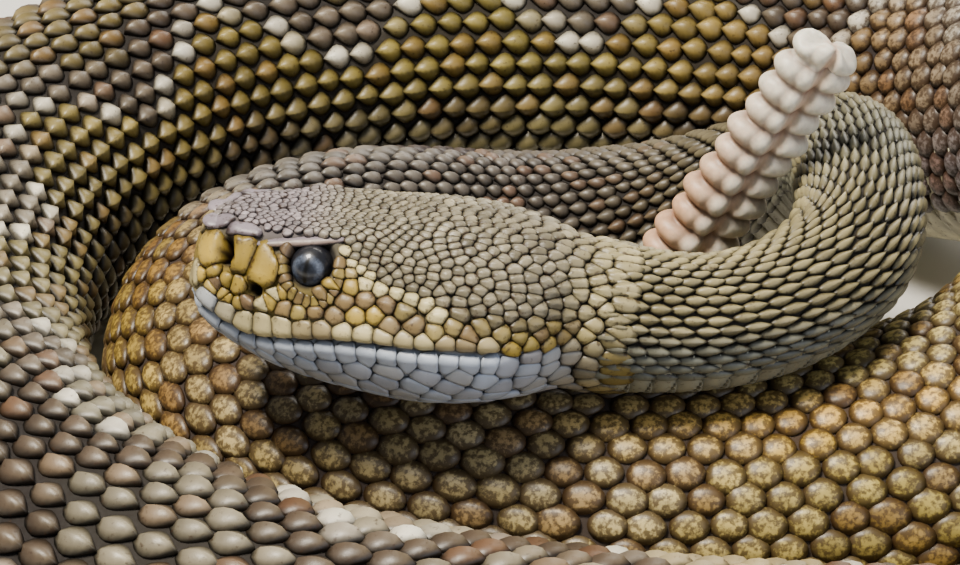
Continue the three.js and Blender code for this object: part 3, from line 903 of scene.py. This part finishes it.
@dataclass
class Skin:
    """One unbroken skin from the snout to the root of the rattle, which lies under all the scales."""

    hide: Hide
    markings: Markings
    sides: int = 160
    depth: float = 0.5

    def build(self, material: bpy.types.Material) -> None:
        """Makes the skin and lets it stand for every node of flesh."""
        snout = -HEAD_LENGTH - np.sin(np.linspace(1, 0, 9)[:-1] * math.pi / 2)
        head = np.linspace(-HEAD_LENGTH, 0, 190)
        trunk = np.linspace(0, self.hide.route.length, 400)[1:]
        distance = np.concatenate([snout, head, trunk])
        angle = np.linspace(-math.pi, math.pi, self.sides, endpoint=False)
        s, t = np.meshgrid(distance, angle, indexing="ij")
        point, _, _, outward = self.hide.frame(s, t, self.depth)
        local = self.hide.head_local(point)
        relief = np.where(s < 2, self.hide.face_relief(local), 0)
        point = point + outward * relief[..., None]
        point[..., 2] = np.maximum(point[..., 2], 0.3)
        # painted shade: the skin seen between the scales is nearly black on the body, plum-tinged under the
        # flat coil, and on the head is the head's colours made darker, least on the face and chin
        under = mix(Palette.GAP_SHADE, Palette.GAP_SHADE_PLUM, self.markings.flat_part(s))
        body_colour = mix(under, self.markings.body(np.maximum(s, 0), t) * 0.3, 0.15)
        pale_chin = step(1, -1, local[..., 2] - smooth_table(MOUTH_LINE, local[..., 0]))
        face = step(30, 18, local[..., 0])
        head_colour = self.markings.head(local) * (0.22 + 0.2 * face + 0.3 * pale_chin)[..., None]
        colour = mix(body_colour, head_colour, step(0, -10, s))
        point, colour = point.reshape(-1, 3), colour.reshape(-1, 3)
        made = new_piece("skin", point, *ring_faces(*s.shape), colour, material, Slot.SKIN)
        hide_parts(*FLESH_NODES)


@dataclass
class BodyScales:
    """The rows of keeled scales over the back and sides, and the broad plates under the belly.

    reach is the angle from the back line that the rows cover, and the pitches are the distance between
    cross rows as a share of the body's half width.
    """

    hide: Hide
    markings: Markings
    rows: int = 27
    reach: float = 2.1
    pieces: int = 12
    pitch_share: float = 0.215
    neck_pitch: float = 0.4
    seed: int = 11

    def pitch(self, distance: np.ndarray) -> np.ndarray:
        """The distance between cross rows: long on the neck, short on the trunk."""
        half = self.hide.route.at(distance)[1]
        share = self.markings.share(distance)
        neck = step(0.13, 0.06, share) * step(-0.01, 0.03, share)
        return half * (self.pitch_share + (self.neck_pitch - self.pitch_share) * neck)

    def columns(self) -> np.ndarray:
        """Distances of the cross rows."""
        found = [1.0]
        while found[-1] < self.hide.route.length - 1.5:
            found.append(found[-1] + self.pitch(np.array(found[-1:]))[0])
        return np.array(found)

    def build(self, material: bpy.types.Material) -> None:
        """Makes the scales in pieces along the body."""
        random = np.random.default_rng(self.seed)
        columns = self.columns()
        blocks = np.array_split(np.arange(len(columns)), self.pieces)
        half_rows = (self.rows - 1) // 2
        spacing = self.reach / (half_rows + 0.5)
        row_angle = np.arange(-half_rows, half_rows + 1) * spacing
        for number, block in enumerate(blocks):
            i, j = np.meshgrid(block, np.arange(self.rows), indexing="ij")
            i, j = i.ravel(), j.ravel()
            pitch = self.pitch(columns[i])
            s = columns[i] + 0.5 * pitch * (j % 2)
            keep = s < self.hide.route.length - 1
            i, j, s, pitch = (v[keep] for v in (i, j, s, pitch))
            t = row_angle[j] + random.normal(0, 0.035, len(s)) * spacing
            s = s + random.normal(0, 0.045, len(s)) * pitch
            wide = len(block) + 0.8
            cells = ((i - block[0] + 0.25 + 0.5 * (j % 2)) / wide, (j + 0.5) / self.rows)
            layer = Layer(self.hide, Leaf(), material, Slot.TAIL if number == self.pieces - 1 else Slot.SKIN)
            scales = self.scales(s, t, pitch, spacing, random)
            layer.piece(f"back_scales_{number + 1:02d}", scales, cells, (0.4 / wide, 0.4 / self.rows))
        self.belly(columns, material)

    def scales(
        self, s: np.ndarray, t: np.ndarray, pitch: np.ndarray, spacing: float, random: np.random.Generator
    ) -> ScaleField:
        """Forms and colours the scales by the part of the body that they are on.

        Args:
            s: Distances behind the head.
            t: Angles from the back line.
            pitch: The distance between cross rows at each.
            spacing: The angle between long rows.
            random: The source of unevenness.

        Returns:
            The scales.
        """
        flat = self.markings.flat_part(s)
        neck = step(0.12, 0.08, self.markings.share(s))
        smooth = step(1.2, 1.8, np.abs(t))
        size = random.normal(1, 0.04, len(s))
        fuller = 1 + 0.16 * smooth * (1 - flat)
        length = pitch * size * (1.12 - 0.08 * flat + 0.1 * neck * smooth)
        room = spacing * self.hide.per_radian(s, t)
        width = room * size * fuller * (1.12 + 0.2 * flat - 0.06 * neck)
        colour = self.markings.body(s, t) * random.normal(1, 0.12, len(s)).clip(0.6, 1.4)[:, None]
        warm = (random.uniform(0, 1, len(s)) > 0.82) * (0.3 + 0.2 * flat)
        colour = mix(colour, Palette.BRICK, warm * (1 - neck))
        return ScaleField(
            s,
            t,
            length,
            width,
            colour,
            dome=0.17 - 0.06 * flat,
            level=2.4 + 3.2 * flat,
            keel=(0.19 - 0.17 * flat + 0.04 * neck) * (1 - 0.75 * smooth),
            lift=0.2 - 0.14 * flat,
            point=(0.9 - 0.75 * flat) * (1 - 0.5 * smooth),
            # the edge form sets the painted shade at each scale's rim, and the pale form the painted
            # highlight along its keel
            edge=0.78 - 0.2 * flat,
            pale=(0.42 - 0.3 * flat) * (1 - 0.5 * smooth),
            fleck=0.2 + 0.68 * flat,
        )

    def belly(self, columns: np.ndarray, material: bpy.types.Material) -> None:
        """Makes the belly's broad plates."""
        layer = Layer(self.hide, Leaf(2, 14), material)
        random = np.random.default_rng(self.seed + 1)
        blocks = np.array_split(columns, 4)
        for number, s in enumerate(blocks):
            t = np.full(len(s), math.pi)
            length = self.pitch(s) * 1.35
            width = 2 * (math.pi - self.reach + 0.5) * self.hide.per_radian(s, t)
            share = self.markings.share(s)
            colour = mix(Palette.BELLY, Palette.TAIL, 0.6 * step(0.85, 0.95, share))
            colour = mix(colour, Palette.TEAL, 0.6 * step(0.1, 0.06, share))
            colour = colour * random.normal(1, 0.07, len(s))[:, None]
            form = {"dome": 0.01, "keel": 0.0, "lift": 0.02, "point": 0.0, "edge": 0.2}
            plates = ScaleField(s, t, length, width, colour, **form, skirt=0.2, sunk=0.15)
            cells = ((np.arange(len(s)) + 0.5) / len(s), np.full(len(s), 0.5))
            layer.piece(f"belly_plates_{number + 1}", plates, cells, (0.4 / len(s), 0.45))


@dataclass
class HeadScales:
    """The fine scales of the crown, cheeks and chin, and the larger plates of the lips and face.

    closest, eased and pull say how near each other scales are first set, how far apart they are then
    pushed, and by which share of the push they move. corner, crease and widest say how sharp the
    corners are where scales meet, which share of the room they fill, and how far one may reach as a
    share of its usual width.
    """

    hide: Hide
    markings: Markings
    seed: int = 3
    tries: int = 30000
    rounds: int = 14
    lip_count: int = 15
    eye_ring: int = 15
    neighbours: int = 22
    closest: float = 0.8
    eased: float = 1.05
    pull: float = 0.25
    corner: int = 10
    crease: float = 0.98
    widest: float = 0.85

    def spacing(self, local: np.ndarray) -> np.ndarray:
        """How far apart the fine scales stand, across the head, at a place on it."""
        place, height = local[:, 0], local[:, 2]
        crown = 0.95 + 0.55 * step(14, 54, place)
        cheek = 2.1 - 0.5 * step(34, 50, place)
        under = 2.9 - 1.1 * step(40, 58, place)
        mouth = height - smooth_table(MOUTH_LINE, place)
        found = crown + (cheek - crown) * step(8.0, 5.5, height + 0.08 * (place - 21))
        return found + (under - found) * step(0.5, -2.5, mouth)

    def stretch(self, local: np.ndarray) -> np.ndarray:
        """How much longer than broad the fine scales are at a place on the head."""
        place = local[:, 0]
        return 1.05 + 0.5 * step(14, 26, place) + 0.7 * step(44, 60, place)

    def is_open(self, local: np.ndarray) -> np.ndarray:
        """Which places take fine scales: not the eyes, pits, brows, lips or named plates."""
        place, wide, height = local[:, 0], np.abs(local[:, 1]), local[:, 2]
        mouth = height - smooth_table(MOUTH_LINE, place)
        eye = (self.hide.gap(local, self.hide.eye, (1, 1, 1)) > 5.3) | (height > 9.6)
        pit = self.hide.gap(local, self.hide.heat_pit, (1, 1, 1)) > 2.7
        lip = (mouth > 0.4 + self.lip_height(place)) | (mouth < -3.6) | (place > 45)
        face = ~((place < 14) & (height > 3.0) & (height < 9.6) & (wide > 2))
        brow = ~((np.abs(place - 15.4) < 6.0) & (height > 8.3) & (wide > 7.8))
        return eye & pit & lip & brow & face & (place > 0.8)

    def lip_height(self, place: np.ndarray) -> np.ndarray:
        """How tall the upper lip's plates are."""
        return smooth_table(LIP_HEIGHT, place)

    def scatter(self) -> tuple:
        """Places for the fine scales, spread evenly and eased apart.

        Returns:
            Distances and angles.
        """
        random = np.random.default_rng(self.seed)
        s = random.uniform(*HEAD_SPAN, self.tries)
        t = random.uniform(-CHIN_LIMIT, CHIN_LIMIT, self.tries)
        point, along, cross, _ = self.hide.frame(s, t)
        local = self.hide.head_local(point)
        gap, stretch = self.spacing(local), self.stretch(local)
        chance = random.uniform(0, 19, self.tries) < self.hide.per_radian(s, t)
        order = np.flatnonzero(self.is_open(local) & chance)
        kept: list = []
        for k in order:
            apart = point[kept] - point[k]
            squeezed = apart - along[k] * (apart @ along[k] * (1 - 1 / stretch[k]))[:, None]
            if not (np.einsum("ij,ij->i", squeezed, squeezed) < (self.closest * gap[k]) ** 2).any():
                kept.append(k)
        s, t = s[kept], t[kept]
        for _ in range(self.rounds):
            point, along, cross, _ = self.hide.frame(s, t)
            local = self.hide.head_local(point)
            gap, stretch = self.spacing(local)[:, None], self.stretch(local)[:, None]
            apart = (point[:, None] - point[None]).astype(np.float32)
            u = np.einsum("ijk,ik->ij", apart, along.astype(np.float32)) / stretch
            v = np.einsum("ijk,ik->ij", apart, cross.astype(np.float32))
            deep = np.sum(apart * apart, axis=-1) - (u * stretch) ** 2 - v * v
            far = np.sqrt(u * u + v * v + np.maximum(deep, 0)) + np.eye(len(s)) * FAR_AWAY
            push = self.pull * np.clip(self.eased * gap - far, 0, None) / far
            per_radian = np.maximum(self.hide.per_radian(s, t), 2)
            moved_s = np.clip(s + np.sum(push * u * stretch, axis=1), *HEAD_SPAN)
            moved_t = t + np.sum(push * v, axis=1) / per_radian
            stays = self.is_open(self.hide.head_local(self.hide.point(moved_s, moved_t)))
            s, t = np.where(stays, moved_s, s), np.where(stays, moved_t, t)
        return s, t

    def cells(
        self, s: np.ndarray, t: np.ndarray, length: np.ndarray, width: np.ndarray, leaf: Leaf
    ) -> np.ndarray:
        """How far each scale reaches towards each point of its template before it meets a neighbour.

        Args:
            s: Distances behind the head.
            t: Angles from the back line.
            length: Each scale's usual length.
            width: Each scale's usual width.
            leaf: The template.

        Returns:
            A reach for each scale and point, in millimetres across.
        """
        point, along, cross, _ = self.hide.frame(s, t)
        apart = point[None] - point[:, None]
        u = np.einsum("ijk,ik->ij", apart, along)
        v = np.einsum("ijk,ik->ij", apart, cross)
        far = np.linalg.norm(apart, axis=-1) + np.eye(len(s)) * FAR_AWAY
        near = np.argpartition(far, self.neighbours, axis=1)[:, : self.neighbours]
        u, v, far = (np.take_along_axis(a, near, 1) for a in (u, v, far))
        flat = np.maximum(np.hypot(u, v), 1e-6)
        u, v = u / flat, v / flat
        mine = np.hypot(length[:, None] * u, width[:, None] * v)
        share = mine / (mine + np.hypot(length[near] * u, width[near] * v))
        angle = np.arctan2(leaf.places[:, 1], leaf.places[:, 0])
        longer = (length / width)[:, None, None]
        towards = u[..., None] * np.cos(angle) * longer + v[..., None] * np.sin(angle)
        bounds = np.maximum(towards, 0) / (far * share)[..., None]
        limit = 1 / (self.widest * width[:, None])
        total = np.sum(bounds**self.corner, axis=1) + limit**self.corner
        return self.crease / total ** (1 / self.corner)

    def fine_scales(self, random: np.random.Generator) -> tuple:
        """The fine scales' places, sizes and colours, and how far each is on the chin and the nape."""
        s, t = self.scatter()
        local = self.hide.head_local(self.hide.point(s, t))
        place, height = local[:, 0], local[:, 2]
        gap = self.spacing(local)
        colour = self.markings.head(local) * random.normal(1, 0.2, len(s)).clip(0.5, 1.5)[:, None]
        line = smooth_table(BEAD_LINE, place)
        beads = (np.abs(height - line) < 0.85) & (place > 21) & (place < 37)
        low = step(line, line - 1.5, height) * step(60, 48, place) * step(8, 14, place)
        tan = random.uniform(0, 1, len(s))
        colour = mix(colour, Palette.TAN, 0.75 * low * (tan > 0.55))
        colour = mix(colour, Palette.MUSTARD * 1.1, 0.75 * low * (tan < 0.22))
        colour = mix(colour, Palette.CREAM * 1.2, 0.9 * beads)
        chin = step(0.0, -2.0, height - smooth_table(MOUTH_LINE, place)) * step(60, 50, place)
        colour = mix(colour, self.markings.head(local), chin * 0.7)
        nape = step(18, 30, place) * (1 - chin) * step(2, 6, height)
        return s, t, gap * self.stretch(local), gap, colour, chin, nape

    def build(self, material: bpy.types.Material) -> None:
        """Makes every scale and plate of the head, so that neighbours meet along thin creases."""
        random = np.random.default_rng(self.seed + 1)
        fine = self.fine_scales(random)
        plates = self.plates(random)
        named = np.arange(len(fine[0]) + len(plates[0])) >= len(fine[0])
        plates = (*plates, np.zeros(len(plates[0])))
        s, t, length, width, colour, chin, nape = (np.concatenate(pair) for pair in zip(fine, plates))
        layer = Layer(self.hide, Leaf(6, 6), material, Slot.HEAD, relief=True)
        reach = self.cells(s, t, length, width, layer.leaf)
        crown = (self.hide.head_local(self.hide.point(s, t))[:, 2] > 4) & ~named
        parts = (("crown_scales", crown), ("cheek_scales", ~crown & ~named), ("face_plates", named))
        for name, chosen in parts:
            pale, back = chin[chosen], nape[chosen]
            plate = name == "face_plates"
            patch = ScaleField(
                *(values[chosen] for values in (s, t, length, width, colour)),
                dome=(0.17 - 0.13 * pale) * (0.45 if plate else 1),
                level=2.6 + 3 * pale + 2 * plate,
                keel=0.2 * back,
                lift=0.03 + 0.14 * back,
                # the edge form sets the painted shade at each scale's rim, and the pale form the painted
                # highlight along its keel
                edge=0.55 - 0.33 * pale,
                pale=0.3 * back,
                fleck=0.35 - 0.35 * pale,
                cells=reach[chosen],
                sunk=0.08,
                skirt=0.45,
            )
            count = len(patch.distance)
            side = math.ceil(math.sqrt(count))
            number = np.arange(count)
            cells = ((number % side + 0.5) / side, (number // side + 0.5) / side)
            layer.piece(name, patch, cells, (0.4 / side, 0.4 / side))

    def face_rows(self) -> list:
        """Place, height, length, width and colour of the large plates on one side of the face."""
        # Nasals, loreal, canthals, rostral side, then the small plates between the pit and the lip.
        rows = [
            (2.1, 5.2, 4.4, 6.0, Palette.MUSTARD * 0.95),
            (6.9, 6.2, 3.0, 5.4, Palette.MUSTARD * 0.8),
            (10.9, 5.7, 5.4, 5.2, Palette.MUSTARD * 1.1),
            (3.0, 8.6, 4.4, 2.6, Palette.CANTHUS),
            (7.0, 8.9, 4.6, 2.6, Palette.CANTHUS),
            (0.7, 1.6, 3.0, 2.8, Palette.CREAM),
            (12.6, 2.6, 2.0, 1.8, Palette.CREAM),
            (6.7, 2.3, 2.2, 2.8, Palette.MUSTARD),
            (3.6, 1.5, 2.6, 2.2, Palette.TAN),
            (11.0, 0.9, 2.2, 1.7, Palette.CREAM),
            (8.2, 0.2, 2.4, 1.6, Palette.TAN),
            (5.4, 0.0, 2.2, 1.8, Palette.MUSTARD),
        ]
        for k in range(self.eye_ring):
            around = math.radians(158 + 224 * k / (self.eye_ring - 1))
            x = self.hide.eye[0] + 4.2 * math.cos(around)
            z = self.hide.eye[2] + 0.2 + 3.8 * math.sin(around)
            rows.append((x, z, 1.35, 1.35, mix(Palette.TAN * 0.7, Palette.CHEEK, (k * 0.37) % 1)))
        return rows

    def plates(self, random: np.random.Generator) -> tuple:
        """Places, sizes, colours and paleness of the plates of the lips and face, on both sides."""
        rows = [(*row, 0.0) for row in self.face_rows()]
        edges = np.linspace(1.2, 44, self.lip_count + 1)
        for start, end in zip(edges[:-1], edges[1:]):
            middle = (start + end) / 2
            mouth = smooth_table(MOUTH_LINE, np.array([middle]))[0]
            tall = self.lip_height(np.array([middle]))[0]
            upper = mix(Palette.CREAM, Palette.TAN, 0.75 * step(8, 20, middle) * random.uniform(0, 1))
            # the front lip plates take the chin's colour with its painted sky light
            upper = mix(upper, Palette.CHIN, 0.8 * step(7, 2, middle))
            rows.append((middle, mouth + 0.1 + tall / 2, end - start, tall, upper, 0.35))
            # lower lip plates: pale, with a blue tint of painted sky light
            rows.append((middle + 0.8, mouth - 1.75, end - start, 3.1, Palette.CHIN, 0.9))
        both = [(row, sign) for row in rows for sign in (1, -1)]
        s = np.array([row[0] - HEAD_LENGTH for row, _ in both]) + random.normal(0, 0.08, len(both))
        t = np.array([sign * self.hide.angle_at(row[0], row[1]) for row, sign in both])
        length, width = (np.array([row[k] for row, _ in both]) for k in (2, 3))
        colour = np.array([row[4] for row, _ in both]) * random.normal(1, 0.07, len(both))[:, None]
        return s, t, length, width, colour, np.array([row[5] for row, _ in both])


@dataclass
class Brows:
    """The brow plates that overhang the eyes, and the plates at the very front of the snout."""

    hide: Hide
    centre: tuple = (15.0, 8.3, 9.15)
    sizes: tuple = (6.5, 1.05, 0.68)
    rise: float = 0.2

    def build(self, material: bpy.types.Material) -> None:
        """Makes the plates of both sides and the one in front."""
        sides = (("left", 1), ("right", -1))
        x, y, z = self.centre
        for side, sign in sides:
            self.plate(f"brow_{side}", (x, sign * y, z), self.sizes, self.rise, material, Palette.BROW)
        self.plate("rostral_plate", (0.1, 0.0, 0.4), (0.9, 2.7, 3.1), 0.0, material, Palette.CREAM)
        for side, sign in sides:
            nose = (2.2, sign * 2.5, 7.9)
            self.plate(f"nose_top_{side}", nose, (1.9, 2.2, 0.8), 0.0, material, Palette.CANTHUS)

    def plate(
        self,
        name: str,
        centre: tuple,
        sizes: tuple,
        rise: float,
        material: bpy.types.Material,
        colour: np.ndarray,
    ) -> None:
        """Makes one rounded plate on the head.

        Args:
            name: The piece's name.
            centre: Its middle in the head's own frame.
            sizes: Its half sizes.
            rise: How much it climbs towards the tail.
            material: Its finish.
            colour: Its colour, which a brow has only on its outer edge.
        """
        co, corners, totals = ball(40, 24, sizes)
        ripple = 1 + 0.03 * np.sin(co[:, 0] * 5.1) * np.sin(co[:, 1] * 3.7 + 1)
        co = co * ripple[:, None]
        # painted shadow: each plate's lower half is darkened to a third of its colour
        low = step(0.0, -0.8, co[:, 2] / sizes[2])
        outer = step(0.35, 0.75, co[:, 1] * np.sign(centre[1]) / sizes[1])
        top = mix(Palette.CANTHUS * 0.85, colour * 1.3, outer) if rise else colour
        tone = mix(top, colour * 0.3, low)
        tone = np.concatenate([tone, np.full((len(co), 1), 0.25)], axis=1)
        co[:, 2] += rise * co[:, 0]
        world = self.hide.head_world(co + np.array(centre))
        face_outward(new_piece(name, world, corners, totals, tone, material, Slot.HEAD))


@dataclass
class Eyes:
    """Two eyes: a ball whose outer face carries the iris and its slit, under a clear scale."""

    hide: Hide
    radius: float = 3.1

    def build(self, material: bpy.types.Material) -> None:
        """Makes both eyes where the solids' eyes are."""
        x, y, z = self.hide.eye
        for name, sign in (("eye_left", 1), ("eye_right", -1)):
            co, corners, totals = ball(64, 48, (self.radius,) * 3)
            axis = unit(np.array([-0.25, sign, 0.1]))
            tall = unit(np.array([0.05, 0, 1]) - axis * axis[2])
            a, b, out = (co @ way / self.radius for way in (np.cross(axis, tall), tall, axis))
            far = np.hypot(a, b)
            colour = mix(linear("#20242e"), linear("#4a5262"), step(0.35, 0.6, far))
            colour = mix(colour, linear("#191a20"), step(0.66, 0.8, far))
            slit = np.hypot(a / 0.13, b / 0.62)
            colour = mix(colour, linear("#040405"), step(1.15, 0.9, slit))
            colour = mix(colour, linear("#15151a"), step(0.1, -0.1, out))
            world = self.hide.head_world(co + np.array([x, sign * y, z]))
            made = new_piece(f"{name}_ball", world, corners, totals, colour, material, Slot.EYE)
            face_outward(made)
            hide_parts(name)


@dataclass
class Rattle:
    """The string of horn segments, each with a smaller and a larger lobe either side of a groove."""

    route: Route
    sides: int = 72
    steps: int = 11
    root: tuple = (7.2, 4.9)
    tip: tuple = (5.8, 3.6)

    def build(self, material: bpy.types.Material) -> None:
        """Makes one closed string and lets it stand for the solids' rattle."""
        axes = self.route.at(np.array([self.route.length]))
        middle, _, tailward, back, side = (values[0] for values in axes)
        pitch = RATTLE_LENGTH / RATTLE_SEGMENTS
        angle = np.linspace(0, 2 * math.pi, self.sides, endpoint=False)
        cosine, sine = np.cos(angle), np.sin(angle)
        # cream is the horn's own colour; peach and crease are painted shade
        cream, peach_shade, crease = linear("#efe8d6"), linear("#c98a52"), linear("#6d4630")
        rings, colours = [], []
        for i in range(RATTLE_SEGMENTS):
            uneven = 1 + 0.05 * math.sin(2.4 * i)
            last = i == RATTLE_SEGMENTS - 1
            for k in range(self.steps):
                share = (k + 0.5) / self.steps
                along = (i + share) / RATTLE_SEGMENTS
                bulge = 0.66 + 0.34 * math.sin(math.pi * share) ** 0.6
                if last:
                    bulge *= math.sqrt(max(1 - (share * 0.98) ** 4, 0.02))
                half_width = bulge * uneven * (self.root[0] + (self.tip[0] - self.root[0]) * along)
                half_depth = bulge * uneven * (self.root[1] + (self.tip[1] - self.root[1]) * along)
                groove = hump(cosine, 0.12, 0.15) + 0.3 * hump(cosine, -0.45, 0.1)
                broken = 0.12 * last * np.sin(5 * angle + 4 * share) * share
                pinch = 1 - 0.42 * groove * (0.5 + 0.5 * bulge) + broken
                ring = middle + back * (half_width * cosine)[:, None]
                ring = ring + side * (half_depth * sine * pinch)[:, None]
                shear = 0.55 * pitch * np.where(cosine > 0.12, 0.42, -0.12) * (0 < i < RATTLE_SEGMENTS - 1)
                rise = 0.3 + along * RATTLE_LENGTH + shear + 0.8 * last * share * np.sin(3 * angle)
                rings.append(ring + tailward * np.clip(rise, 0.3, RATTLE_LENGTH)[:, None])
                # painted shade: peach in the groove between the lobes and on the shaded side near the root
                warm = 0.55 * groove + 0.75 * step(0.0, 0.9, -cosine) * step(1.0, 0.2, along)
                tone = mix(cream, peach_shade, np.clip(warm, 0, 0.85))
                # painted shade: dark brown in the creases between segments, faint on the last one
                deep = 0.9 * (1 - math.sin(math.pi * share)) ** 1.6
                tone = mix(tone, crease, np.full(self.sides, deep * (1 - 0.8 * last)))
                colours.append(tone)
        points, tones = np.concatenate(rings), np.concatenate(colours)
        faces = ring_faces(len(rings), self.sides)
        made = new_piece("rattle_string", points, *faces, tones, material, Slot.RATTLE)
        face_outward(made)
        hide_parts("rattle")


@dataclass
class Studio:
    """The camera at the photo's angle, a pale floor and soft lights."""

    elevation: float = math.radians(35)
    away: float = 350.0
    lens: float = 90.5

    def camera(self) -> None:
        """Sets the scene's camera."""
        rise = np.array([0, math.sin(self.elevation), math.cos(self.elevation)])
        aim = np.array([-13.0, -44.0, 60.0]) + 2.6 * rise + COIL_SHIFT
        place = aim - self.away * np.array([0, math.cos(self.elevation), -math.sin(self.elevation)])
        data = bpy.data.cameras.new("view")
        data.lens, data.sensor_width = self.lens, 36.0
        data.clip_start, data.clip_end = 0.01, 50.0
        made = bpy.data.objects.new("view", data)
        made.location = Vector(place * MM)
        made.rotation_euler = (math.pi / 2 - self.elevation, 0, 0)
        bpy.context.scene.collection.objects.link(made)
        bpy.context.scene.camera = made

    def light(self, name: str, place: tuple, size: float, power: float, colour: str) -> None:
        """Adds one soft square light that faces the animal."""
        data = bpy.data.lights.new(name, "AREA")
        data.shape, data.size, data.energy = "SQUARE", size, power
        data.color = tuple(linear(colour))
        made = bpy.data.objects.new(name, data)
        made.location = Vector(place)
        made.rotation_euler = (Vector((0, 0, 0.04)) - made.location).to_track_quat("-Z", "Y").to_euler()
        bpy.context.scene.collection.objects.link(made)

    def build(self) -> None:
        """Makes the floor, the lights and the world."""
        self.camera()
        bpy.ops.object.select_all(action="DESELECT")
        bpy.ops.mesh.primitive_plane_add(size=6, location=(0, 0, -0.0002))
        floor = bpy.context.object
        floor.name = "floor"
        paint = {"Base Color": (*linear("#d9d7d2"), 1), "Roughness": 0.8}
        floor.data.materials.append(Node("matt_floor_paint").finish(paint))
        self.light("key", (-0.3, -0.05, 0.9), 0.28, 20.0, "#fff6e6")
        self.light("fill", (0.7, -0.8, 0.5), 0.9, 5.0, "#e8efff")
        self.light("rim", (0.3, 0.9, 0.6), 0.6, 8.0, "#fffaf0")
        world = bpy.data.worlds.new("studio")
        world.use_nodes = True
        sky = world.node_tree.nodes["Background"]
        sky.inputs["Color"].default_value = (0.62, 0.68, 0.78, 1)
        sky.inputs["Strength"].default_value = 0.2
        bpy.context.scene.world = world


def main() -> None:
    """Builds the animal and the studio in order."""
    coils = [lying(*row) for row in (*INNER_TURN, *ARCH, *OUTER_TURN)]
    route = Route([*NECK_LOOP, *coils, *TAIL_RUN])
    hide = Hide(route)
    markings = Markings(hide)
    scales = ScaleFinish().build()
    Studio().build()
    Skin(hide, markings).build(ScaleFinish("skin_between_scales", roughness=0.85).build())
    BodyScales(hide, markings).build(scales)
    HeadScales(hide, markings).build(scales)
    Brows(hide).build(scales)
    Eyes(hide).build(EyeFinish().build())
    Rattle(route).build(HornFinish().build())


if __name__ == "__main__":
    main()
